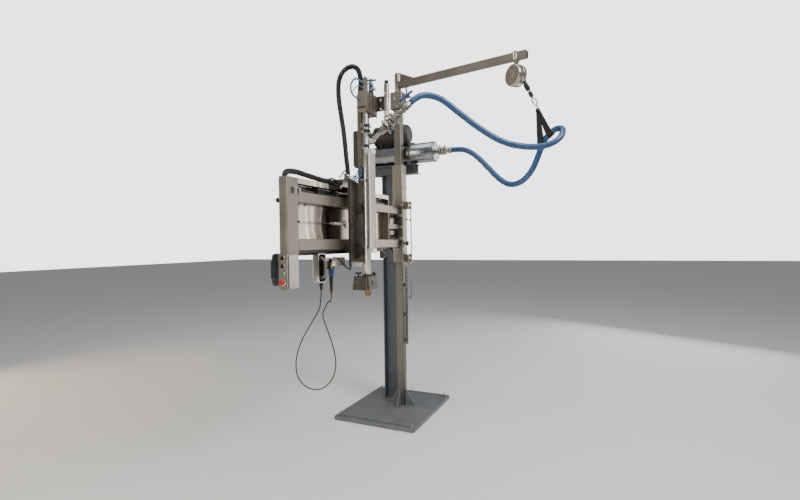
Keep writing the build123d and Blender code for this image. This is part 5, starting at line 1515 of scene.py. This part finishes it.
tail.turned(
    along(0.232), run,
    (
        (0, 0.026), (0.001, 0.0385), (0.006, 0.0405), (0.013, 0.0405), (0.018, 0.037), (0.020, 0.025),
        (0.060, 0.0245), (0.062, 0.031), (0.070, 0.034), (0.074, 0.034), (0.076, 0.0265), (0.096, 0.0265),
        (0.098, 0.0325), (0.152, 0.0325), (0.156, 0.0305),
    ),
    36,
)
tail.done("hose_tail", "fitting", "mast", "polished_stainless", ["inlet_pipe"])


def clamp_nut(shape, place, axis, radius, side):
    """The hinged clamp's ears with its bolt and wing nut, on one side of a union."""
    side = (side - axis * side.dot(axis)).normalized()
    other = axis.cross(side)
    ear = place + side * radius
    shape.block((-0.010, -0.009, -0.004), (0.010, 0.009, 0.020), (ear, axis, other, side), 0.002)
    shape.rod(ear + side * 0.012 - other * 0.024, ear + side * 0.012 + other * 0.030, 0.0042)
    nut = ear + side * 0.012 + other * 0.022
    shape.turned(nut, other, ((0, 0.010), (0.008, 0.010), (0.012, 0.006)), 16)
    for way in (-1, 1):
        shape.block((-0.003, 0.004, -0.003), (0.003, 0.022, 0.009), (nut, axis, side * way, other), 0.0015)
    return shape


wing_nuts = Shape()
clamp_nut(wing_nuts, along(0.080), run, 0.042, down + lead_out * 0.2)
clamp_nut(wing_nuts, along(0.080), run, 0.042, -down - out_side * 0.4)
clamp_nut(wing_nuts, along(0.128), run, 0.040, -down + out_side * 0.5)
clamp_nut(wing_nuts, along(0.242), run, 0.040, down)
clamp_nut(wing_nuts, along(0.242), run, 0.040, out_side)
for d in (0.338, 0.372):
    place = along(d)
    wing_nuts.turned(place, run, ((0, 0.0325), (0.0005, 0.0345), (0.008, 0.0345), (0.0085, 0.0325)), 36)
wing_nuts.done("clamp_nuts", "bright_steel", "mast", "polished_stainless", ["inlet_pipe"])
teal = Shape()
teal.turned(
    along(0.104) + down * 0.030, down,
    ((0, 0.012), (0.010, 0.012), (0.012, 0.024), (0.030, 0.027), (0.036, 0.024), (0.038, 0.016)), 10,
)
teal.done("drain_knob", "teal", "mast", "lever_blue", ["inlet_pipe"])

# ------------------------------ lever: stem nut, steel strap and dark blue sleeve
lift = Vector((-0.5126, -0.4301, 0.7431))
LEVER_PLACE = 0.415
pivot = origin + branch * LEVER_PLACE
wide_way = branch.cross(lift)
strap = Shape()
strap.turned(
    pivot + lift * 0.0385, lift,
    ((0, 0.012), (0.006, 0.012), (0.007, 0.010), (0.022, 0.010), (0.024, 0.007)), flats=6,
)
strap.block((-0.014, -0.011, 0.046), (0.085, 0.011, 0.050), (pivot, branch, wide_way, lift), 0.0015)
strap.done("lever_strap", "fitting", "lever", "polished_stainless", ["valve_lever"])
sleeve_bar = Shape()
frames = (
    (0.058, 0.0095, 0.0065), (0.062, 0.0132, 0.0108), (0.120, 0.0136, 0.0114), (0.185, 0.0142, 0.0122),
    (0.200, 0.0138, 0.0118), (0.2045, 0.010, 0.008),
)
ring_list = []
for d, half, thick in frames:
    ring = []
    for k in range(20):
        t = 2 * math.pi * k / 20
        sx, sy = math.cos(t), math.sin(t)
        ring.append(
            pivot
            + branch * d
            + lift * (0.0575 + thick * math.copysign(abs(sy) ** 0.6, sy))
            + wide_way * half * math.copysign(abs(sx) ** 0.6, sx)
        )
    ring_list.append(ring)
sleeve_bar.rings(ring_list)
sleeve_bar.done("lever_sleeve", "lever_blue", "lever", "lever_blue", ["valve_lever"])

# ------------------------------ fill head, nozzle and knobs
block = Shape()
for x, y in ((96, -1152), (218, -1152), (218, -1004), (96, -1004)):
    block.socket_screw(M(x, y, 1519), EZ, 0.0065)
box(block, (90, 150), (-1168, -1163), (1440, 1490), 2)
block.turned(M(228, -1078, 1462), EX, ((0, 0.024), (0.006, 0.024), (0.008, 0.020), (0.010, 0.012)), 24)
block.done("head_cover", "cast", "mast", "cast_dark")
blow = Shape()
blow.turned(on_lance(1407), -EZ, ((0, 0.0325), (0.006, 0.0325), (0.007, 0.029), (0.014, 0.029)), 36)
blow.turned(on_lance(1372), -EZ, ((0, 0.0275), (0.002, 0.0288), (0.008, 0.0282), (0.010, 0.0262)), 36)
blow.done("nozzle_rings", "brass", "mast", "brass")
wing = Shape()
wing.rod(M(114, -1120, 1520.4), M(114, -1120, 1546), 0.0065)
wing.turned(M(114, -1120, 1540), EZ, ((0, 0.010), (0.004, 0.012), (0.010, 0.012), (0.014, 0.008)), 20)
for way in (-1, 1):
    wing.turned(
        M(114, -1120, 1549) + EX * way * 0.006, EX * way,
        ((0, 0.006), (0.010, 0.0075), (0.019, 0.0085), (0.0235, 0.006)), 14,
    )
wing.done("wing_knob", "black_plastic", "wing", "black_plastic", ["head_wing"])
cap = Shape()
profile = (
    (0, 0.007), (0.008, 0.007), (0.009, 0.0155), (0.012, 0.017), (0.026, 0.017), (0.030, 0.0145),
    (0.0315, 0.008),
)
cap.turned(M(212, -1018, 1520.4), EZ, profile, 12)
cap.done("round_knob", "black_plastic", "knob", "black_plastic", ["head_knob"])
star = Shape()
ring_list = []
for x, scale in ((74, 0.80), (77, 1.0), (92, 1.0), (97, 0.78)):
    ring_list.append(
        [
            M(x, 0, 1798) + (
                EY * math.cos(2 * math.pi * k / 36) + EZ * math.sin(2 * math.pi * k / 36)
            ) * (0.0235 + 0.0035 * math.cos(5 * 2 * math.pi * k / 36)) * scale
            for k in range(36)
        ]
    )
star.rings(ring_list)
star.turned(M(62, 0, 1798), EX, ((0, 0.008), (0.012, 0.008), (0.013, 0.013), (0.016, 0.014)), 20)
star.done("star_knob", "black_plastic", "lock", "black_plastic", ["lock_knob"])

# ------------------------------ jib: straps, bolts and end caps
turn = math.radians(-9.1)
boom_way = Vector((math.cos(turn), math.sin(turn), 0))
boom_side = Vector((-math.sin(turn), math.cos(turn), 0))


BOOM_LEVEL = 3516
HANGER_PLACE = (1305.4, -209.1)


def on_boom(reach, sideways, z):
    return boom_way * (reach / 1000) + boom_side * (sideways / 1000) + EZ * (z / 1000)


straps = Shape()
for reach in (1309, 1332):
    for way in (-1, 1):
        straps.block(
            (-0.006, -0.0025, -0.041), (0.006, 0.0025, 0.041),
            (on_boom(reach, way * 41, BOOM_LEVEL), boom_way, boom_side, EZ), 0.001,
        )
    straps.block(
        (-0.006, -0.042, -0.0025), (0.006, 0.042, 0.0025),
        (on_boom(reach, 0, 3557), boom_way, boom_side, EZ), 0.001,
    )
    for way in (-1, 1):
        straps.turned(on_boom(reach, way * 22, 3560), EZ, ((0, 0.007), (0.006, 0.007)), flats=6)
straps.turned(on_boom(1322, -21, 3459.7), -boom_side, ((0, 0.010), (0.006, 0.010), (0.008, 0.007)), flats=6)
straps.turned(on_boom(1322, 21, 3459.7), boom_side, ((0, 0.010), (0.006, 0.010), (0.008, 0.007)), flats=6)
straps.rod(on_boom(108, 0, 3440), on_boom(108, 0, 3470), 0.0125)
straps.done("boom_straps", "bright_steel", "jib", "polished_stainless")
boom_cap = Shape()
boom_cap.block(
    (0, -0.030, -0.030), (0.004, 0.030, 0.030), (on_boom(1424, 0, BOOM_LEVEL), boom_way, boom_side, EZ),
    0.0015,
)
boom_cap.turned(M(0, 0, 3638), EZ, ((0, 0.0345), (0.003, 0.0355), (0.006, 0.033), (0.008, 0.020)), 36)
boom_cap.done("boom_caps", "dark_steel", "jib", "dark_steel")

# ------------------------------ balancer: drum, eye, buffers, wire, hook and ring
drum_centre = M(*HANGER_PLACE, 3338)
facing = math.radians(-127.5)
drum_way = Vector((math.cos(facing), math.sin(facing), 0))
back_of_drum = drum_centre - drum_way * 0.058
drum = Shape()
drum.turned(
    back_of_drum,
    drum_way,
    (
        (0, 0.030),
        (0.001, 0.066),
        (0.006, 0.084),
        (0.016, 0.0945),
        (0.030, 0.0992),
        (0.052, 0.0998),
        (0.054, 0.0985),
        (0.056, 0.0985),
        (0.058, 0.0998),
        (0.092, 0.0998),
        (0.104, 0.0985),
        (0.110, 0.0965),
        (0.112, 0.0945),
        (0.1125, 0.0925),
    ),
    72,
)
outlet = M(1377, -219, 3272)
ring_at = M(1486, -137, 3037)
line_way = (ring_at - outlet).normalized()
drum.turned(
    outlet - line_way * 0.070, line_way,
    ((0, 0.052), (0.030, 0.046), (0.056, 0.030), (0.066, 0.024), (0.070, 0.020)), 36,
)
drum.done("drum_shell", "drum_bright", "balancer", "aluminium_profile", ["balancer"])
plate = Shape()
plate.turned(
    drum_centre + drum_way * 0.050, drum_way,
    (
        (0, 0.0925), (0.004, 0.0925), (0.006, 0.0905), (0.007, 0.030), (0.009, 0.028), (0.011, 0.014),
        (0.012, 0.006),
    ),
    72,
)
d_a, d_b = across(drum_way)
for k in range(6):
    t = 2 * math.pi * k / 6 + 0.3
    plate.socket_screw(drum_centre + drum_way * 0.0563 + spoke(t, d_a, d_b) * 0.078, drum_way, 0.0045)
plate.done("drum_face", "drum", "balancer", "aluminium_profile", ["balancer"])
eye = Shape()
eye.block((-0.012, -0.0113, 0.078), (0.012, 0.0113, 0.112), (drum_centre, boom_way, boom_side, EZ), 0.002)
eye.turned(M(*HANGER_PLACE, 3459.5) - boom_side * 0.0113, boom_side, ((0, 0.013), (0.0226, 0.013)), 28)
eye.block((-0.030, -0.020, 0.088), (0.030, 0.020, 0.100), (drum_centre, boom_way, boom_side, EZ), 0.003)
eye.done("drum_eye", "fitting", "balancer", "stainless", ["balancer"])
buffers = Shape()
buffers.turned(
    outlet - line_way * 0.006, line_way,
    ((0, 0.018), (0.004, 0.022), (0.016, 0.022), (0.020, 0.014), (0.024, 0.013)), 20,
)
buffers.turned(
    outlet + line_way * 0.016, line_way,
    ((0, 0.012), (0.004, 0.019), (0.024, 0.0225), (0.062, 0.0225), (0.072, 0.017), (0.076, 0.010)), 20,
)
buffers.turned(
    outlet + line_way * 0.106, line_way,
    ((0, 0.009), (0.004, 0.0175), (0.030, 0.0195), (0.044, 0.0185), (0.052, 0.011)), 20,
)
buffers.done("wire_buffers", "black_rubber", "balancer", "black_rubber", ["balancer"])
metal = Shape()
metal.rod(outlet, outlet + line_way * 0.160, 0.004, 12)
metal.turned(
    outlet + line_way * 0.091, line_way, ((0, 0.011), (0.002, 0.0165), (0.012, 0.0165), (0.014, 0.011)), 20,
)
metal.turned(
    outlet + line_way * 0.152, line_way,
    ((0, 0.008), (0.010, 0.008), (0.011, 0.011), (0.016, 0.011), (0.018, 0.006)), 18,
)
hook_side = line_way.cross(Vector((0, 1, 0))).normalized()
hook_loop = []
for k in range(33):
    t = 2 * math.pi * k / 32
    hook_loop.append(outlet + line_way * (0.204 + 0.036 * -math.cos(t)) + hook_side * 0.017 * math.sin(t))
metal.tube(hook_loop, 0.0068, 12)
ring_normal = line_way.cross(hook_side).normalized() * 0.3 + hook_side
metal.torus(ring_at - line_way * 0.004, ring_normal, 0.020, 0.0048, 32, 10)
metal.done("snap_hook", "bright_steel", "balancer", "polished_stainless", ["balancer"])

# sling: two webbing legs from the ring, each round one side of the hose loop
def band(shape, points, across_way, widths, thick):
    """A flat strap along points; across_way is the direction of its width."""
    line = [Vector(p) for p in points]
    rings = []
    for i, here in enumerate(line):
        tangent = (line[min(i + 1, len(line) - 1)] - line[max(i - 1, 0)]).normalized()
        side = (across_way - tangent * across_way.dot(tangent)).normalized()
        normal = tangent.cross(side)
        t = i / (len(line) - 1)
        half = widths[0] + (widths[1] - widths[0]) * t
        rings.append(
            [
                here + side * half + normal * thick, here - side * half + normal * thick,
                here - side * half - normal * thick, here + side * half - normal * thick,
            ]
        )
    return shape.rings(rings)


def near_on_hose(place):
    """The hose line's nearest point and its direction there."""
    best = min(range(1, len(hose_line) - 1), key=lambda i: (hose_line[i] - place).length)
    return hose_line[best], (hose_line[best + 1] - hose_line[best - 1]).normalized()


SLING_WRAP_RADIUS = 0.0325
SLING_HALF_THICKNESS = 0.0022
WRAP_START, WRAP_SWEEP, WRAP_STEPS = -205, 230, 24
LEG_STEPS = 14
sling = Shape()
for guess, spread in ((M(1512, -79, 2700), 0.034), (M(1584, -92, 2800), 0.030)):
    centre, way = near_on_hose(guess)
    upward = (ring_at - centre) - way * (ring_at - centre).dot(way)
    upward.normalize()
    sidew = way.cross(upward)
    wrap = []
    for k in range(WRAP_STEPS + 1):
        t = math.radians(WRAP_START + WRAP_SWEEP * k / WRAP_STEPS)
        radius = SLING_WRAP_RADIUS
        wrap.append(centre + sidew * radius * math.cos(t) + upward * radius * math.sin(t))
    top = ring_at - line_way * 0.004 - EZ * 0.016
    down_leg = [top.lerp(wrap[0], i / LEG_STEPS) for i in range(LEG_STEPS)]
    up_leg = [wrap[-1].lerp(top, i / LEG_STEPS) for i in range(1, LEG_STEPS + 1)]
    for part, w in (
        (down_leg + wrap[:3], (0.016, spread)), (wrap, (spread, spread)),
        (wrap[-2:] + up_leg, (spread, 0.016)),
    ):
        band(sling, part, way, w, SLING_HALF_THICKNESS)
sling_piece = sling.done("webbing_sling", "webbing", None, "black_rubber", ["balancer"])
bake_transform(sling_piece)
stitch = Shape()
stitch.turned(
    ring_at - line_way * 0.010 - EZ * 0.044, EZ,
    ((0, 0.017), (0.006, 0.019), (0.030, 0.014), (0.034, 0.009)), 16,
)
stitch.done("sling_bridle", "webbing", "balancer", "black_rubber", ["balancer"])

# ------------------------------ floor, backdrop and lights
floor_mesh = bpy.data.meshes.new("floor")
floor_mesh.from_pydata(
    [(-40, -40, -0.002), (40, -40, -0.002), (40, 40, -0.002), (-40, 40, -0.002)], [], [(0, 1, 2, 3)],
)
floor = bpy.data.objects.new("floor", floor_mesh)
bpy.context.scene.collection.objects.link(floor)
floor_material = bpy.data.materials.new("floor")
floor_material.use_nodes = True
floor_material.node_tree.nodes["Principled BSDF"].inputs["Base Color"].default_value = (0.86, 0.86, 0.85, 1)
floor_material.node_tree.nodes["Principled BSDF"].inputs["Roughness"].default_value = 0.8
floor_mesh.materials.append(floor_material)

world = bpy.data.worlds.new("world")
bpy.context.scene.world = world
world.use_nodes = True
wn, wl = world.node_tree.nodes, world.node_tree.links
background = wn["Background"]
place = wn.new("ShaderNodeTexCoord")
split = wn.new("ShaderNodeSeparateXYZ")
sky = wn.new("ShaderNodeValToRGB")
sky.color_ramp.elements[0].position = 0.38
sky.color_ramp.elements[0].color = (0.30, 0.29, 0.27, 1)
sky.color_ramp.elements[1].position = 0.62
sky.color_ramp.elements[1].color = (0.78, 0.80, 0.84, 1)
half = wn.new("ShaderNodeMapRange")
half.inputs["From Min"].default_value = -1
wl.new(place.outputs["Generated"], split.inputs["Vector"])
wl.new(split.outputs["Z"], half.inputs["Value"])
wl.new(half.outputs["Result"], sky.inputs["Fac"])
wl.new(sky.outputs["Color"], background.inputs["Color"])
background.inputs["Strength"].default_value = 0.34
white = wn.new("ShaderNodeBackground")
white.inputs["Color"].default_value = (1, 1, 1, 1)
white.inputs["Strength"].default_value = 3.0
seen = wn.new("ShaderNodeLightPath")
choose = wn.new("ShaderNodeMixShader")
wl.new(seen.outputs["Is Camera Ray"], choose.inputs["Fac"])
wl.new(background.outputs["Background"], choose.inputs[1])
wl.new(white.outputs["Background"], choose.inputs[2])
wl.new(choose.outputs["Shader"], wn["World Output"].inputs["Surface"])


def area_light(name, place, target, size, power, color=(1, 1, 1)):
    data = bpy.data.lights.new(name, "AREA")
    data.shape = "RECTANGLE"
    data.size, data.size_y = size
    data.energy = power
    data.color = color
    light = bpy.data.objects.new(name, data)
    bpy.context.scene.collection.objects.link(light)
    light.location = place
    light.visible_camera = False
    light.rotation_mode = "QUATERNION"
    light.rotation_quaternion = (Vector(target) - Vector(place)).to_track_quat("-Z", "Y")
    return light


area_light("key", (4.6, -2.0, 6.2), (0, -0.8, 2.0), (2.6, 3.0), 300, (1.0, 0.96, 0.91))
area_light("top", (0.5, -1.0, 7.5), (0.3, -0.6, 1.5), (4.0, 4.0), 150, (0.95, 0.98, 1.0))
area_light("strip", (-0.45, -6.4, 2.3), (0.1, -1.1, 2.2), (0.55, 5.0), 120, (1.0, 0.96, 0.88))
area_light("left", (-6.0, -2.4, 2.4), (0.1, -1.1, 2.2), (2.2, 4.5), 110, (1.0, 0.72, 0.40))
area_light("back", (3.2, 5.2, 2.6), (0, -0.6, 2.2), (4.5, 4.0), 130, (1.0, 0.95, 0.90))
